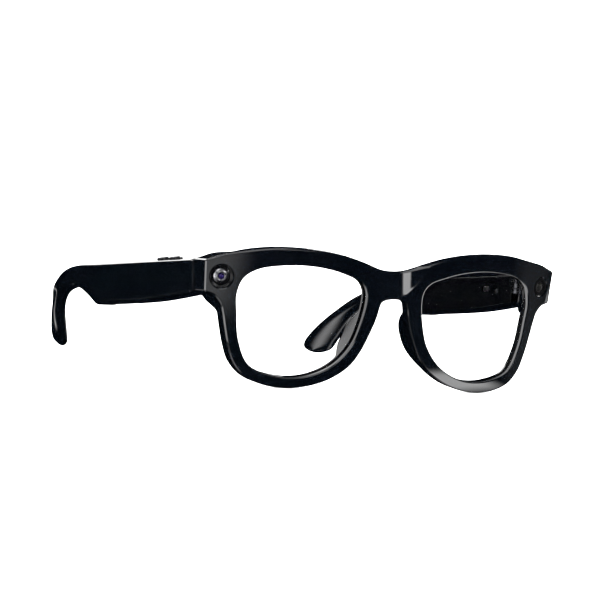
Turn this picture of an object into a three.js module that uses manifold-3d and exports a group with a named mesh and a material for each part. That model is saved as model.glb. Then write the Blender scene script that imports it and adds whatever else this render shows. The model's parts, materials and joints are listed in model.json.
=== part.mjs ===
// Smart glasses: a moulded front with two lenses, a camera and an indicator light,
// and two hollow folding temples that carry the electronics. Millimetres, +Z up.
//
// Every piece is drawn in the front's own frame, then the whole set is leaned by
// `lean` so that the two rims and the two temple tips stand on the ground plane.
// In the drawing frame the front faces -Y, the temples run towards +Y, z = 0 is
// mid-height of the end pieces and side = +1 is the wearer's left.

import * as THREE from 'three';
import { mergeVertices } from 'three/addons/utils/BufferGeometryUtils.js';
import Module from 'manifold-3d';

const wasm = await Module();
wasm.setup();

// ---------- driving dimensions ----------
const lean = THREE.MathUtils.degToRad(4.3);
const weld = 1e-4;
const fit = 0.15;

// Front: how it wraps round the face, how thick it is, how its edges are broken.
const wrapStart = 12;
const wrapRate = 0.0031;
const rimDepth = 5.2;
const edgeBevel = 0.5;
const openingBevel = 0.35;
const rimGrowth = 0.4;
const openingInset = 0.3;
const padDepth = 6.2;
const padZ = -20;
const hingeFaceY = 21.5;
const endDropRate = 0.13;

// Lens groove, measured back from the front face.
const grooveFront = 1.7;
const grooveRear = 3.7;
const grooveDeep = 0.9;
const lensFront = 2.0;
const lensRear = 3.4;
const lensReach = 0.7;

// Camera and indicator light stand on the end pieces.
const eyeX = 68.8;
const eyeZ = 0.2;
const bezelRadius = 4.3;
const barrelRadius = 3.1;
const lampBezelRadius = 3.35;
const lampRadius = 1.7;

// Hinge axis and leaves.
const pivotX = 66.3;
const pivotY = 23.6;
const knuckleRadius = 1.5;
const pinRadius = 0.6;
const hingeShank = 0.6;
const hingeHead = 1.1;
const plateFront = 20.65;
const plateRear = 21.4;
const plateX = [66.1, 73.5];
const plateZ = [-5.4, 3.4];
const hingeScrewX = 72.2;
const hingeScrewSpots = [-4, 2];
const hingeScrewEndY = 18;

// Temple: straight box section first, then a drooped and inward bent tip.
const templeFrontY = 21.8;
const templeTopZ = 4.5;
const templeSlope = 0.191;
const templeMidX = 71;
const templeThick = 8;
const wall = 1.4;
const coverThick = 1.2;
const cavityOuterX = 73.6;
const coverInnerX = templeMidX - templeThick / 2;
const cavityInnerX = coverInnerX + coverThick;
const coverStartY = 28;
const coverEndY = 102;
const hollowStartY = 23.2;

// The top face of each temple stands higher at its inner edge, by innerRise in
// front and by nothing behind riseEndY, to meet the end piece that it folds from.
const innerRise = 1.9;
const riseStartY = 80;
const riseEndY = 122;
const topBevel = 0.7;
const outerTopBevel = 0.3;
const bellyBevel = 1.3;
const tipHalf = 1.5;

// Seen from the side, the joint between end piece and temple leans forward towards
// its bottom: a tongue of the temple's outer wall lies in a step of the end piece.
const tongueInnerX = 74.1;
const tongueTopZ = 4.2;
const tongueLean = 0.21;
const tongueBottomZ = -6.5;
const jointGap = 0.3;

// Bores and clearances shared by the small parts.
const clearance = 0.05;
const beyond = 1;
const contactX = 3;
const contactRadius = 1.1;

// ---------- geometry helpers ----------
const clamp01 = (value) => Math.min(1, Math.max(0, value));

function rise(from, to, value) {
  const t = clamp01((value - from) / (to - from));
  return t * t * (3 - 2 * t);
}

function wrap(x) {
  return wrapRate * Math.max(0, Math.abs(x) - wrapStart) ** 2;
}

function spline(points, closed = false) {
  const knots = points.map(([x, y]) => new THREE.Vector3(x, y, 0));
  return new THREE.CatmullRomCurve3(knots, closed, 'centripetal');
}

function indexed(positions, triangles) {
  const geometry = new THREE.BufferGeometry();
  geometry.setAttribute('position', new THREE.Float32BufferAttribute(positions, 3));
  geometry.setIndex(triangles);
  return geometry;
}

// Welds equal corners, drops collapsed triangles and turns the faces outward.
function closedBody(geometry) {
  const bare = geometry.clone();
  bare.deleteAttribute('normal');
  bare.deleteAttribute('uv');
  const welded = mergeVertices(bare, weld);
  const corners = welded.attributes.position;
  const kept = [];
  for (let i = 0; i < welded.index.count; i += 3) {
    const [a, b, c] = [0, 1, 2].map((step) => welded.index.getX(i + step));
    if (a !== b && b !== c && c !== a) kept.push(a, b, c);
  }
  const [p, q, r] = [new THREE.Vector3(), new THREE.Vector3(), new THREE.Vector3()];
  let volume = 0;
  for (let i = 0; i < kept.length; i += 3) {
    p.fromBufferAttribute(corners, kept[i]);
    q.fromBufferAttribute(corners, kept[i + 1]);
    r.fromBufferAttribute(corners, kept[i + 2]);
    volume += p.dot(q.cross(r));
  }
  if (volume < 0) kept.reverse();
  return indexed(Array.from(corners.array), kept);
}

// Skins rings of equal length. `loop` joins the last ring back to the first;
// otherwise both ends are closed with a fan.
function skin(rings, loop) {
  const size = rings[0].length;
  const positions = rings.flat().flatMap((point) => [point.x, point.y, point.z]);
  const triangles = [];
  const spans = loop ? rings.length : rings.length - 1;
  for (let i = 0; i < spans; i += 1) {
    const here = i * size;
    const next = ((i + 1) % rings.length) * size;
    for (let j = 0; j < size; j += 1) {
      const k = (j + 1) % size;
      triangles.push(here + j, next + j, next + k);
      triangles.push(here + j, next + k, here + k);
    }
  }
  if (!loop) {
    const last = (rings.length - 1) * size;
    for (let j = 1; j < size - 1; j += 1) {
      triangles.push(0, j, j + 1);
      triangles.push(last, last + j + 1, last + j);
    }
  }
  return indexed(positions, triangles);
}

function solid(geometry) {
  const body = closedBody(geometry);
  const mesh = new wasm.Mesh({
    numProp: 3,
    vertProperties: new Float32Array(body.attributes.position.array),
    triVerts: new Uint32Array(body.index.array),
  });
  return new wasm.Manifold(mesh);
}

function fromSolid(shape) {
  const mesh = shape.getMesh();
  return indexed(Array.from(mesh.vertProperties), Array.from(mesh.triVerts));
}

function cut(geometry, ...tools) {
  const rest = tools.reduce((left, tool) => left.subtract(solid(tool)), solid(geometry));
  return fromSolid(rest);
}

function join(...pieces) {
  const [first, ...others] = pieces.map(solid);
  return fromSolid(others.reduce((sum, piece) => sum.add(piece), first));
}

// A pair of limits moved apart by `amount` at each end.
function wider([low, high], amount) {
  return [low - amount, high + amount];
}

function box([x0, x1], [y0, y1], [z0, z1]) {
  const block = new THREE.BoxGeometry(x1 - x0, y1 - y0, z1 - z0);
  return block.translate((x0 + x1) / 2, (y0 + y1) / 2, (z0 + z1) / 2);
}

// A rod along z from z0 to z1.
function post(radius, x, y, z0, z1, sides = 16) {
  const rod = new THREE.CylinderGeometry(radius, radius, z1 - z0, sides);
  return rod.rotateX(Math.PI / 2).translate(x, y, (z0 + z1) / 2);
}

// A rod along y from y0 to y1.
function alongY(radius, x, y0, y1, z, sides = 12) {
  const rod = new THREE.CylinderGeometry(radius, radius, y1 - y0, sides);
  return rod.translate(x, (y0 + y1) / 2, z);
}

// A rod along x from x0 to x1.
function crossPost(radius, x0, x1, y, z, sides = 12) {
  const rod = new THREE.CylinderGeometry(radius, radius, x1 - x0, sides);
  return rod.rotateZ(Math.PI / 2).translate((x0 + x1) / 2, y, z);
}

// A turned piece from [radius, depth] corners; depth runs along +Y from y = 0.
function turned(profile, sides = 28) {
  const corners = profile.map(([radius, depth]) => new THREE.Vector2(radius, depth));
  return new THREE.LatheGeometry([...corners, corners[0]], sides);
}

// Turns a piece drawn on the y axis to stand square in the end piece at (eyeX, eyeZ).
function onEndPiece(geometry) {
  const tilt = Math.atan(2 * wrapRate * (eyeX - wrapStart));
  return geometry.rotateZ(tilt).translate(eyeX, wrap(eyeX), eyeZ);
}

// ---------- front ----------
const opening = spline([
  [14.3, 1.3], [20.5, 3.8], [29, 5.8], [38, 6.6], [47, 6.1], [56, 4.1], [61, 0.4],
  [62.9, -5.5], [62.3, -13], [60.6, -23], [56, -31.9], [46, -35.4], [34, -35.2],
  [23, -30.4], [16, -22.6], [13, -14.4], [11.6, -6.5], [11.9, -2.2],
], true);
const openingKnots = 18;

// Outer edge of one half, piece by piece, each with the run of opening knots it faces.
// Both edges are drawn as guides: the rim grows past the outer one by rimGrowth and
// past the opening by openingInset.
const edgeRuns = [
  { knots: [0, 1], steps: 6, edge: [[0, 4.8], [4, 5.1], [8, 6.1], [12.5, 7.6], [20.5, 9.9]] },
  { knots: [1, 5], steps: 8, edge: [[20.5, 9.9], [30, 11.5], [41, 12.1], [52, 11.5], [60, 10.1]] },
  { knots: [5, 6], steps: 4, edge: [[60, 10.1], [68, 8.3], [75, 6]] },
  { knots: [6, 7], steps: 3, edge: [[75, 6], [74.2, -6]] },
  { knots: [7, 8], steps: 5, edge: [[74.2, -6], [70.5, -6.9], [68, -9.2], [66.7, -13]] },
  {
    knots: [8, 16],
    steps: 26,
    edge: [
      [66.7, -13], [65.4, -18.5], [63.6, -25.2], [61.2, -31], [57, -35.6], [50.5, -38.3],
      [41, -39.3], [31.5, -37.9], [23.5, -34.9], [16.6, -30.2], [12.6, -24.8],
      [9.3, -17.7], [7.2, -12], [6.2, -7.5],
    ],
  },
  { knots: [16, 17], steps: 5, edge: [[6.2, -7.5], [5.5, -5.9], [3.5, -4.9], [0, -4.5]] },
  { knots: [17, 18], steps: 2, edge: [[0, -4.5], [0, 4.8]] },
];

function frontStations() {
  const stations = [];
  for (const run of edgeRuns) {
    const edge = spline(run.edge);
    for (let step = 0; step < run.steps; step += 1) {
      const t = step / run.steps;
      const knot = run.knots[0] + t * (run.knots[1] - run.knots[0]);
      const inner = opening.getPoint((knot / openingKnots) % 1);
      stations.push({ inner, outer: edge.getPointAt(t) });
    }
  }
  return stations;
}

// Sideways direction of a closed run of points at index i, pointing away from the lens.
function outwardNormal(points, i) {
  const before = points[(i + points.length - 1) % points.length];
  const after = points[(i + 1) % points.length];
  const along = after.clone().sub(before).normalize();
  return new THREE.Vector3(-along.y, along.x, 0);
}

// How far behind the front face the rear surface lies. It swells into a nose pad on
// the nasal side of each rim and into the block that carries the hinge.
function rearDepth(x, z) {
  const reach = Math.abs(x);
  const padX = 9.5 + 0.37 * Math.max(0, -12 - z);
  const offPad = ((reach - padX) / 7) ** 2 + ((z - padZ) / 11.5) ** 2;
  const bulge = rise(0, 1, 1 - offPad);
  const block = rise(63.5, 67, reach) * rise(-13, -8.5, z);
  return rimDepth + padDepth * bulge + (hingeFaceY - wrap(x) - rimDepth) * block;
}

// Places a point of the flat drawing (x, z) at `depth` behind the wrapped front face.
function placed(x, z, depth) {
  const drop = endDropRate * depth * rise(58, 67, Math.abs(x));
  return new THREE.Vector3(x, wrap(x) + depth, z - drop);
}

function frontRing({ inner, outer, innerOut, outerIn, bevel }) {
  const towards = (t) => inner.clone().lerp(outer, t);
  const innerFace = inner.clone().addScaledVector(innerOut, openingBevel);
  const outerFace = outer.clone().addScaledVector(outerIn, bevel);
  const groove = inner.clone().addScaledVector(innerOut, grooveDeep);
  const front = (point, depth) => placed(point.x, point.y, depth);
  const rear = (point, lift) => placed(point.x, point.y, rearDepth(point.x, point.y) - lift);
  return [
    front(inner, openingBevel),
    front(innerFace, 0),
    front(towards(0.5), 0),
    front(outerFace, 0),
    front(outer, bevel),
    rear(outer, bevel),
    rear(outerFace, 0),
    rear(towards(0.7), 0),
    rear(towards(0.4), 0),
    rear(innerFace, 0),
    rear(inner, openingBevel),
    front(inner, grooveRear + 0.1),
    front(groove, grooveRear),
    front(groove, grooveFront),
    front(inner, grooveFront - 0.1),
  ];
}

function frontBlank() {
  const stations = frontStations();
  const inners = stations.map((station) => station.inner);
  const outers = stations.map((station) => station.outer);
  const rings = stations.map(({ inner, outer }, i) => {
    const onMiddle = outer.x < weld;
    const betweenBridgeEdges = onMiddle && Math.abs(outer.y) < 4.4;
    const innerOut = outwardNormal(inners, i);
    const outerIn = outwardNormal(outers, i).negate();
    if (onMiddle) outerIn.set(0, -Math.sign(outer.y), 0);
    const growth = rimGrowth * (1 - rise(68, 74, outer.x));
    return frontRing({
      inner: inner.clone().addScaledVector(innerOut, -openingInset),
      outer: outer.clone().addScaledVector(outerIn, -growth),
      innerOut,
      outerIn,
      bevel: betweenBridgeEdges ? 0 : edgeBevel,
    });
  });
  const half = closedBody(skin(rings, true));
  const corners = half.attributes.position;
  const positions = Array.from(corners.array);
  const mirrored = positions.map((value, i) => (i % 3 === 0 ? -value : value));
  const triangles = [];
  for (let i = 0; i < half.index.count; i += 3) {
    const [a, b, c] = [0, 1, 2].map((step) => half.index.getX(i + step));
    const onMiddle = [a, b, c].every((corner) => Math.abs(corners.getX(corner)) < weld);
    if (onMiddle) continue;
    triangles.push(a, b, c);
    triangles.push(a + corners.count, c + corners.count, b + corners.count);
  }
  return closedBody(indexed([...positions, ...mirrored], triangles));
}

function mirror(geometry) {
  const flipped = closedBody(geometry);
  flipped.scale(-1, 1, 1);
  return closedBody(flipped);
}

// Seat of a turned insert: a wide mouth for the bezel, then a narrower blind bore.
function eyeSeat(mouthRadius, mouthDepth, boreRadius, boreDepth) {
  return onEndPiece(turned([
    [0, -beyond], [mouthRadius, -beyond], [mouthRadius, mouthDepth],
    [boreRadius, mouthDepth], [boreRadius, boreDepth], [0, boreDepth],
  ]));
}

// The bridge is scooped between the two flat rims by a cone standing almost upright.
function bridgeScoop() {
  const [topRadius, bottomRadius, height, sides] = [27, 20, 24, 72];
  const deepest = 1.2;
  const cone = new THREE.CylinderGeometry(topRadius, bottomRadius, height, sides);
  cone.rotateX(Math.PI / 2);
  return cone.translate(0, deepest - (topRadius + bottomRadius) / 2, 0);
}

// Extrudes a side outline [y, z] across x from x0 to x1.
function acrossX(shape, x0, x1) {
  const slab = new THREE.ExtrudeGeometry(shape, { depth: x1 - x0, bevelEnabled: false });
  const swap = new THREE.Matrix4().set(0, 0, 1, x0, 1, 0, 0, 0, 0, 1, 0, 0, 0, 0, 0, 1);
  return slab.applyMatrix4(swap);
}

function sideOutline(corners) {
  return new THREE.Shape(corners.map(([y, z]) => new THREE.Vector2(y, z)));
}

// Front edge of the temple's tongue at height z.
function tongueEdge(z) {
  return templeFrontY - tongueLean * (tongueTopZ - z);
}

function tongueStep() {
  const [bottomZ, topZ] = [-12, 6];
  const outline = sideOutline([
    [tongueEdge(topZ) - jointGap, topZ], [hingeFaceY + beyond, topZ],
    [hingeFaceY + beyond, bottomZ], [tongueEdge(bottomZ) - jointGap, bottomZ],
  ]);
  return acrossX(outline, tongueInnerX - jointGap, tongueInnerX + 2);
}

function templeTongue() {
  const rootY = templeFrontY + 0.5;
  const rootDrop = 0.7;
  const outline = sideOutline([
    [tongueEdge(tongueTopZ), tongueTopZ], [rootY, tongueTopZ],
    [rootY, tongueBottomZ - rootDrop], [tongueEdge(tongueBottomZ), tongueBottomZ],
  ]);
  return acrossX(outline, tongueInnerX, templeMidX + templeThick / 2);
}

function frontFrame() {
  const seatY = [plateFront - clearance, hingeFaceY + beyond];
  const plateSeat = box(wider(plateX, 2 * clearance), seatY, wider(plateZ, 2 * clearance));
  const screwBores = hingeScrewSpots.map((z) => (
    alongY(hingeShank + fit, hingeScrewX, hingeScrewEndY - 0.5, hingeFaceY, z)));
  const contactSeats = [-contactX, contactX].map((x) => (
    alongY(contactRadius + fit, x, rimDepth - 1, rimDepth + beyond, 0)));
  return cut(
    frontBlank(),
    bridgeScoop(),
    mirror(eyeSeat(bezelRadius + fit, 1.6, barrelRadius + 0.35, 5.6)),
    eyeSeat(lampBezelRadius + fit, 1.4, lampRadius + 0.3, 4.6),
    tongueStep(),
    mirror(tongueStep()),
    plateSeat,
    mirror(plateSeat),
    ...screwBores,
    ...screwBores.map(mirror),
    ...contactSeats,
  );
}

function chargeContact(side) {
  return alongY(contactRadius, side * contactX, rimDepth - 0.9, rimDepth + 0.1, 0);
}

function lens() {
  const steps = 44;
  const centre = new THREE.Vector3(37, -14.5, 0);
  const edge = Array.from({ length: steps }, (_, i) => opening.getPoint(i / steps));
  const reaches = [0, 0.4, 0.75, 1];
  const rings = edge.map((point, i) => {
    const outward = outwardNormal(edge, i);
    const rimPoint = point.clone().addScaledVector(outward, lensReach - openingInset);
    const at = (t, depth) => {
      const spot = centre.clone().lerp(rimPoint, t);
      return placed(spot.x, spot.y, depth);
    };
    const front = reaches.map((t) => at(t, lensFront));
    const rear = reaches.map((t) => at(t, lensRear)).reverse();
    return [...front, ...rear];
  });
  return skin(rings, true);
}

// ---------- camera and indicator light ----------
function cameraBezel() {
  const bore = barrelRadius + 0.25;
  return onEndPiece(turned([
    [bore, 0.55], [3.7, 0.1], [bezelRadius, 0.1], [bezelRadius, 1.45], [bore, 1.45],
  ]));
}

// The barrel bulges forward round a deep well that holds the glass.
function cameraBarrel() {
  return onEndPiece(turned([
    [0, 1.9], [1.2, 1.9], [1.2, 0.35], [1.6, 0.2], [2.4, 0.45],
    [barrelRadius, 1.0], [barrelRadius, 4.4], [0, 4.4],
  ]));
}

function cameraGlass() {
  return onEndPiece(turned([[0, 0.8], [0.6, 0.85], [1.05, 1.05], [1.05, 1.7], [0, 1.7]]));
}

function cameraBoard() {
  return onEndPiece(turned([[0, 4.6], [3.2, 4.6], [3.2, 5.4], [0, 5.4]]));
}

function indicatorBezel() {
  const bore = lampRadius + 0.2;
  return onEndPiece(turned([
    [bore, 0.5], [2.2, 0.2], [lampBezelRadius, 0.2], [lampBezelRadius, 1.25], [bore, 1.25],
  ]));
}

function indicatorPipe() {
  return onEndPiece(turned([
    [0, 0.45], [1.4, 0.45], [lampRadius, 0.7], [lampRadius, 3.3], [0, 3.3],
  ]));
}

function indicatorBoard() {
  return onEndPiece(turned([[0, 3.6], [1.8, 3.6], [1.8, 4.4], [0, 4.4]]));
}

// ---------- hinge ----------
const upperKnuckle = [0.4, 1.9];
const middleKnuckle = [-2.3, 0.25];
const lowerKnuckle = [-4.4, -2.45];
const knuckleHoleZ = [-6, 4];
const templePlate = { x: [68.5, 69.4], y: [25.6, 35], z: [-5, 0.3] };

function pinBore() {
  return post(pinRadius + fit, pivotX, pivotY, ...knuckleHoleZ);
}

function frontLeaf() {
  const plate = box(plateX, [plateFront, plateRear], plateZ);
  const armX = [plateX[0] + clearance, pivotX + knuckleRadius];
  const armY = [plateFront + clearance, pivotY];
  const arms = [upperKnuckle, lowerKnuckle].flatMap((limits) => [
    box(armX, armY, limits),
    post(knuckleRadius, pivotX, pivotY, ...limits),
  ]);
  const screwHoles = hingeScrewSpots.map((z) => (
    alongY(hingeShank + fit, hingeScrewX, plateFront - beyond, hingeFaceY, z)));
  return cut(join(plate, ...arms), pinBore(), ...screwHoles);
}

// Knuckle, then an arm and a step outward to the plate that lies against the cover's side.
function templeLeaf() {
  const [plateX0, plateX1] = templePlate.x;
  const plateStartY = templePlate.y[0];
  const arm = box([pivotX - 0.3, 68.2], [pivotY, plateStartY + 1.4], middleKnuckle);
  const step = box([67, plateX1], [plateStartY, plateStartY + 1.8], middleKnuckle);
  const plate = box([plateX0, plateX1], templePlate.y, templePlate.z);
  const knuckle = post(knuckleRadius, pivotX, pivotY, ...middleKnuckle);
  return cut(join(knuckle, arm, step, plate), pinBore());
}

function hingePin() {
  const headFrom = upperKnuckle[1] + clearance;
  const shank = post(pinRadius, pivotX, pivotY, lowerKnuckle[0], headFrom + 0.15);
  const head = post(1.1, pivotX, pivotY, headFrom, headFrom + 0.5);
  return join(shank, head);
}

function hingeScrew(z) {
  const shank = alongY(hingeShank, hingeScrewX, hingeScrewEndY, plateRear + 0.1, z);
  const head = alongY(hingeHead, hingeScrewX, plateRear + 0.03, plateRear + 0.3, z);
  return join(shank, head);
}

// ---------- temple ----------
function topLine(y) {
  return templeTopZ - templeSlope * (y - templeFrontY);
}

// Upper and lower edge of the temple seen from the side, [y, z], front end to tip.
const upperEdge = spline([
  [21.8, 4.5], [57, -2.2], [94, -9.3], [111, -12.5], [122, -15.9], [133, -21.2],
  [143.6, -27.2], [152, -34.2], [157.5, -40.6], [160.6, -46.2],
]);
const lowerEdge = spline([
  [21.8, -8.4], [53, -16.5], [88, -23.5], [95.5, -24.9], [103, -22.9], [110.5, -21.4],
  [118.5, -21.9], [129.6, -25.8], [138.6, -33.2], [142.8, -42.6],
]);

// Sideways bend of the tip: nothing along the body, then a constant inward slope.
const bendStart = 64.5;
const bendEnd = 90;
const bendSlope = 0.382;

function alongDroop(y, z) {
  return 0.46 * y - 0.888 * z;
}

function inward(reach) {
  const bent = Math.max(0, Math.min(reach, bendEnd) - bendStart);
  const straight = Math.max(0, reach - bendEnd);
  return bendSlope * (bent ** 2 / (2 * (bendEnd - bendStart)) + straight);
}

function halfThickness(reach) {
  return tipHalf + (templeThick / 2 - tipHalf) * (1 - rise(60, 100, reach));
}

// How much higher than the outer edge the top face stands at (x, y).
function topLift(x, y) {
  const across = clamp01((templeMidX + templeThick / 2 - x) / templeThick);
  return innerRise * across * (1 - rise(riseStartY, riseEndY, y));
}

// One cross-section of the temple between an upper and a lower edge point.
function templeRing(upper, lower, bevel, outerBevel, outerBottomBevel) {
  const down = lower.clone().sub(upper);
  const height = down.length();
  down.normalize();
  const corner = (side, inset, distance) => {
    const spot = upper.clone().addScaledVector(down, distance);
    const reach = alongDroop(spot.x, spot.y);
    const x = templeMidX - inward(reach) + side * (halfThickness(reach) - inset);
    const lift = distance <= bevel ? topLift(x, spot.x) : 0;
    return new THREE.Vector3(x, spot.x, spot.y + lift);
  };
  const [outside, inside] = [1, -1];
  return [
    corner(outside, outerBevel, 0),
    corner(outside, 0, outerBevel),
    corner(outside, 0, height / 2),
    corner(outside, 0, height - outerBottomBevel),
    corner(outside, outerBottomBevel, height),
    corner(inside, bevel, height),
    corner(inside, 0, height - bevel),
    corner(inside, 0, height / 2),
    corner(inside, 0, bevel),
    corner(inside, bevel, 0),
  ];
}

// Last cross-sections, where the bevels grow into a rounded end.
const tipEnds = [
  { upper: [160.2, -49], lower: [145, -47.6], bevel: 0.9 },
  { upper: [157, -50.2], lower: [149.6, -49.8], bevel: 1.2 },
];

function templeBlank() {
  const steps = 36;
  const rings = [];
  for (let i = 0; i <= steps; i += 1) {
    const t = i / steps;
    const pair = [upperEdge.getPoint(t), lowerEdge.getPoint(t)];
    rings.push(templeRing(...pair, topBevel, outerTopBevel, bellyBevel));
  }
  for (const { upper, lower, bevel } of tipEnds) {
    const pair = [upper, lower].map(([y, z]) => new THREE.Vector3(y, z, 0));
    rings.push(templeRing(...pair, bevel, bevel, bevel));
  }
  return skin(rings, false);
}

// Height of the lower edge at y, taken from the nearest of many points along it.
function lowerLine(y) {
  const points = lowerEdge.getPoints(200);
  const gap = (point) => Math.abs(point.x - y);
  return points.reduce((best, point) => (gap(point) < gap(best) ? point : best)).y;
}

// Outline of the hollow seen from the side, set in from the temple edges.
function hollowOutline(y0, y1, inset) {
  const steps = 12;
  const bottom = [];
  for (let i = 0; i <= steps; i += 1) {
    const y = y0 + ((y1 - y0) * i) / steps;
    bottom.push(new THREE.Vector2(y, lowerLine(y) + inset));
  }
  const top = [y1, y0].map((y) => new THREE.Vector2(y, topLine(y) - inset));
  return new THREE.Shape([...bottom, ...top]);
}

// Lifts every corner of a geometry by a height that depends on its place.
function lifted(geometry, heightAt) {
  const corners = geometry.attributes.position;
  for (let i = 0; i < corners.count; i += 1) {
    const [x, y, z] = [corners.getX(i), corners.getY(i), corners.getZ(i)];
    corners.setZ(i, z + heightAt(x, y, z));
  }
  return geometry;
}

// A block whose z limits are measured from the sloping top line of the temple.
function slopedBox(xs, ys, zs) {
  return lifted(box(xs, ys, zs), (x, y) => topLine(y));
}

const grille = { x: [69.6, 72.4], y: [78, 88] };
const bellySlope = 0.192;
const bellyZ = -21.65;

// A block whose z limits are measured from the underside of the belly.
function slopedUnder(xs, ys, zs) {
  return lifted(box(xs, ys, zs), (x, y) => bellyZ - bellySlope * (y - grille.y[0]));
}

const coverScrewSpots = [{ y: 39, below: -7.5 }, { y: 97.5, below: -6 }];
const buttons = { capture: 43.4, option: 52.2 };
const buttonSize = { length: 6, width: 2.4, proud: 0.8 };
const portSpots = [38.2, 47.8];
const portSize = { length: 1.1, width: 1.0, proud: 0.5 };
const slotZ = [-3, 4];

function screwHeight({ y, below }) {
  return topLine(y) + below;
}

// A round-ended block standing in the top wall, z limits from the top line.
// Its upper end follows the tilted top face.
function topPill(length, width, y, [z0, z1]) {
  const radius = width / 2;
  const straight = length / 2 - radius;
  const shape = new THREE.Shape();
  shape.absarc(0, straight, radius, 0, Math.PI, false);
  shape.absarc(0, -straight, radius, Math.PI, 2 * Math.PI, false);
  const options = { depth: z1 - z0, bevelEnabled: false, curveSegments: 6 };
  const pill = new THREE.ExtrudeGeometry(shape, options).translate(templeMidX, y, z0);
  const middle = (z0 + z1) / 2;
  return lifted(pill, (x, along, z) => (
    topLine(along) + (z > middle && z1 > 0 ? topLift(x, along) : 0)));
}

const wireRadius = 0.6;

// A rod where the core wire lies, from `start` past its front end to `end` past its rear.
function coreWirePath(radius, start, end) {
  const from = new THREE.Vector3(templeMidX, 100.8, -17);
  const to = new THREE.Vector3(templeMidX - 0.6, 121, -19.6);
  const along = to.clone().sub(from).normalize();
  const first = from.clone().addScaledVector(along, start);
  const last = to.clone().addScaledVector(along, end);
  const rod = new THREE.CylinderGeometry(radius, radius, first.distanceTo(last), 12);
  const upright = new THREE.Vector3(0, 1, 0);
  rod.applyQuaternion(new THREE.Quaternion().setFromUnitVectors(upright, along));
  const middle = first.clone().lerp(last, 0.5);
  return rod.translate(middle.x, middle.y, middle.z);
}

const coverScrew = { shank: 0.5, head: 1.0, headDepth: 0.55, boss: 1.5, endX: 72.2 };

function templeShell(extraCuts) {
  const outline = hollowOutline(hollowStartY, coverEndY, wall);
  const hollow = acrossX(outline, cavityInnerX, cavityOuterX);
  const mouth = acrossX(outline, coverInnerX - 3, cavityInnerX + 2 * clearance);
  const notchX = [coverInnerX - beyond, 68.3];
  const notchY = [templeFrontY - beyond, hollowStartY + 0.2];
  const knuckleNotch = box(notchX, notchY, [-4.9, 3.3]);
  const grilleSlot = slopedUnder(grille.x, grille.y, [-beyond, wall + beyond]);
  const wireBore = coreWirePath(wireRadius + fit, -beyond, 0.2);
  const bored = cut(
    templeBlank(), hollow, mouth, knuckleNotch, grilleSlot, wireBore, ...extraCuts);
  const bossX = [cavityInnerX + clearance, cavityOuterX + 0.2];
  const pilotX = [cavityInnerX - beyond, coverScrew.endX + 0.2];
  const bosses = coverScrewSpots.map((spot) => (
    crossPost(coverScrew.boss, ...bossX, spot.y, screwHeight(spot))));
  const pilots = coverScrewSpots.map((spot) => (
    crossPost(coverScrew.shank + fit, ...pilotX, spot.y, screwHeight(spot))));
  return cut(join(bored, templeTongue(), ...bosses), ...pilots);
}

function rightTempleShell() {
  const { length, width } = buttonSize;
  const buttonSlots = Object.values(buttons).map((y) => (
    topPill(length + 2 * fit, width + 2 * fit, y, slotZ)));
  const portHoles = portSpots.map((y) => (
    topPill(portSize.length + 2 * fit, portSize.width + 2 * fit, y, slotZ)));
  return templeShell([...buttonSlots, ...portHoles]);
}

function templeCover(extraCuts) {
  const outline = hollowOutline(coverStartY, coverEndY - fit, wall + fit);
  const panel = acrossX(outline, coverInnerX, cavityInnerX - clearance);
  const { shank, head, headDepth } = coverScrew;
  const outsideX = coverInnerX - beyond;
  const holes = coverScrewSpots.flatMap((spot) => [
    crossPost(shank + fit, outsideX, cavityInnerX + beyond, spot.y, screwHeight(spot)),
    crossPost(head + fit, outsideX, coverInnerX + headDepth + clearance, spot.y, screwHeight(spot)),
  ]);
  return cut(panel, ...holes, ...extraCuts);
}

function fittedCoverScrew(spot) {
  const { shank, head, headDepth, endX } = coverScrew;
  const headX = [coverInnerX + clearance, coverInnerX + headDepth];
  return join(
    crossPost(head, ...headX, spot.y, screwHeight(spot)),
    crossPost(shank, headX[1] - clearance, endX, spot.y, screwHeight(spot)),
  );
}

// ---------- pieces inside and on the temples ----------
function pressButton(y) {
  const { length, width, proud } = buttonSize;
  const flangeGrowth = 1;
  const cap = topPill(length, width, y, [-1.9, proud]);
  const flange = topPill(length + flangeGrowth, width + flangeGrowth, y, [-2.1, -1.6]);
  return join(cap, flange);
}

function micPort(y) {
  return topPill(portSize.length, portSize.width, y, [-1.3, portSize.proud]);
}

// Limits of the blocks inside a temple: x, y and height from the top line.
const blocks = {
  buttonBoard: [[69.4, 72.6], [36.5, 57], [-3.9, -3.1]],
  mainBoard: [[71.2, 72.1], [43, 73], [-13, -4.6]],
  touchFlex: [[73.1, 73.45], [43, 86], [-12, -3]],
  battery: [[69, 73.2], [43, 73], [-12.4, -3]],
  speaker: [[69.4, 72.8], [77, 91.5], [-11.6, -4]],
};

function speakerGrille() {
  const [y0] = grille.y;
  const insert = slopedUnder(wider(grille.x, -fit), wider(grille.y, -fit), [0.15, 1.1]);
  const slots = [0, 1, 2, 3, 4].map((i) => {
    const start = y0 + 1.3 + 1.7 * i;
    return slopedUnder(wider(grille.x, -0.6), [start, start + 0.8], [-beyond, 3]);
  });
  return cut(insert, ...slots);
}

// The power switch slides along a slot in the left cover.
const switchSlot = { y: [44.4, 49.6], below: [-7.4, -5.4] };
const switchTravel = 1.6;

function switchSlotCut() {
  return slopedBox(
    [coverInnerX - beyond, cavityInnerX + beyond], switchSlot.y, switchSlot.below);
}

function powerSwitch() {
  const [y0, y1] = wider(switchSlot.y, -fit);
  const knobY = [y0, y1 - switchTravel - fit];
  const knobX = [coverInnerX - 0.5, cavityInnerX + 0.3];
  const knob = slopedBox(knobX, knobY, wider(switchSlot.below, -fit));
  const footX = [cavityInnerX + 0.1, cavityInnerX + 0.5];
  const foot = slopedBox(footX, wider(knobY, 1.1), wider(switchSlot.below, 0.8));
  return join(knob, foot);
}

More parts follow.
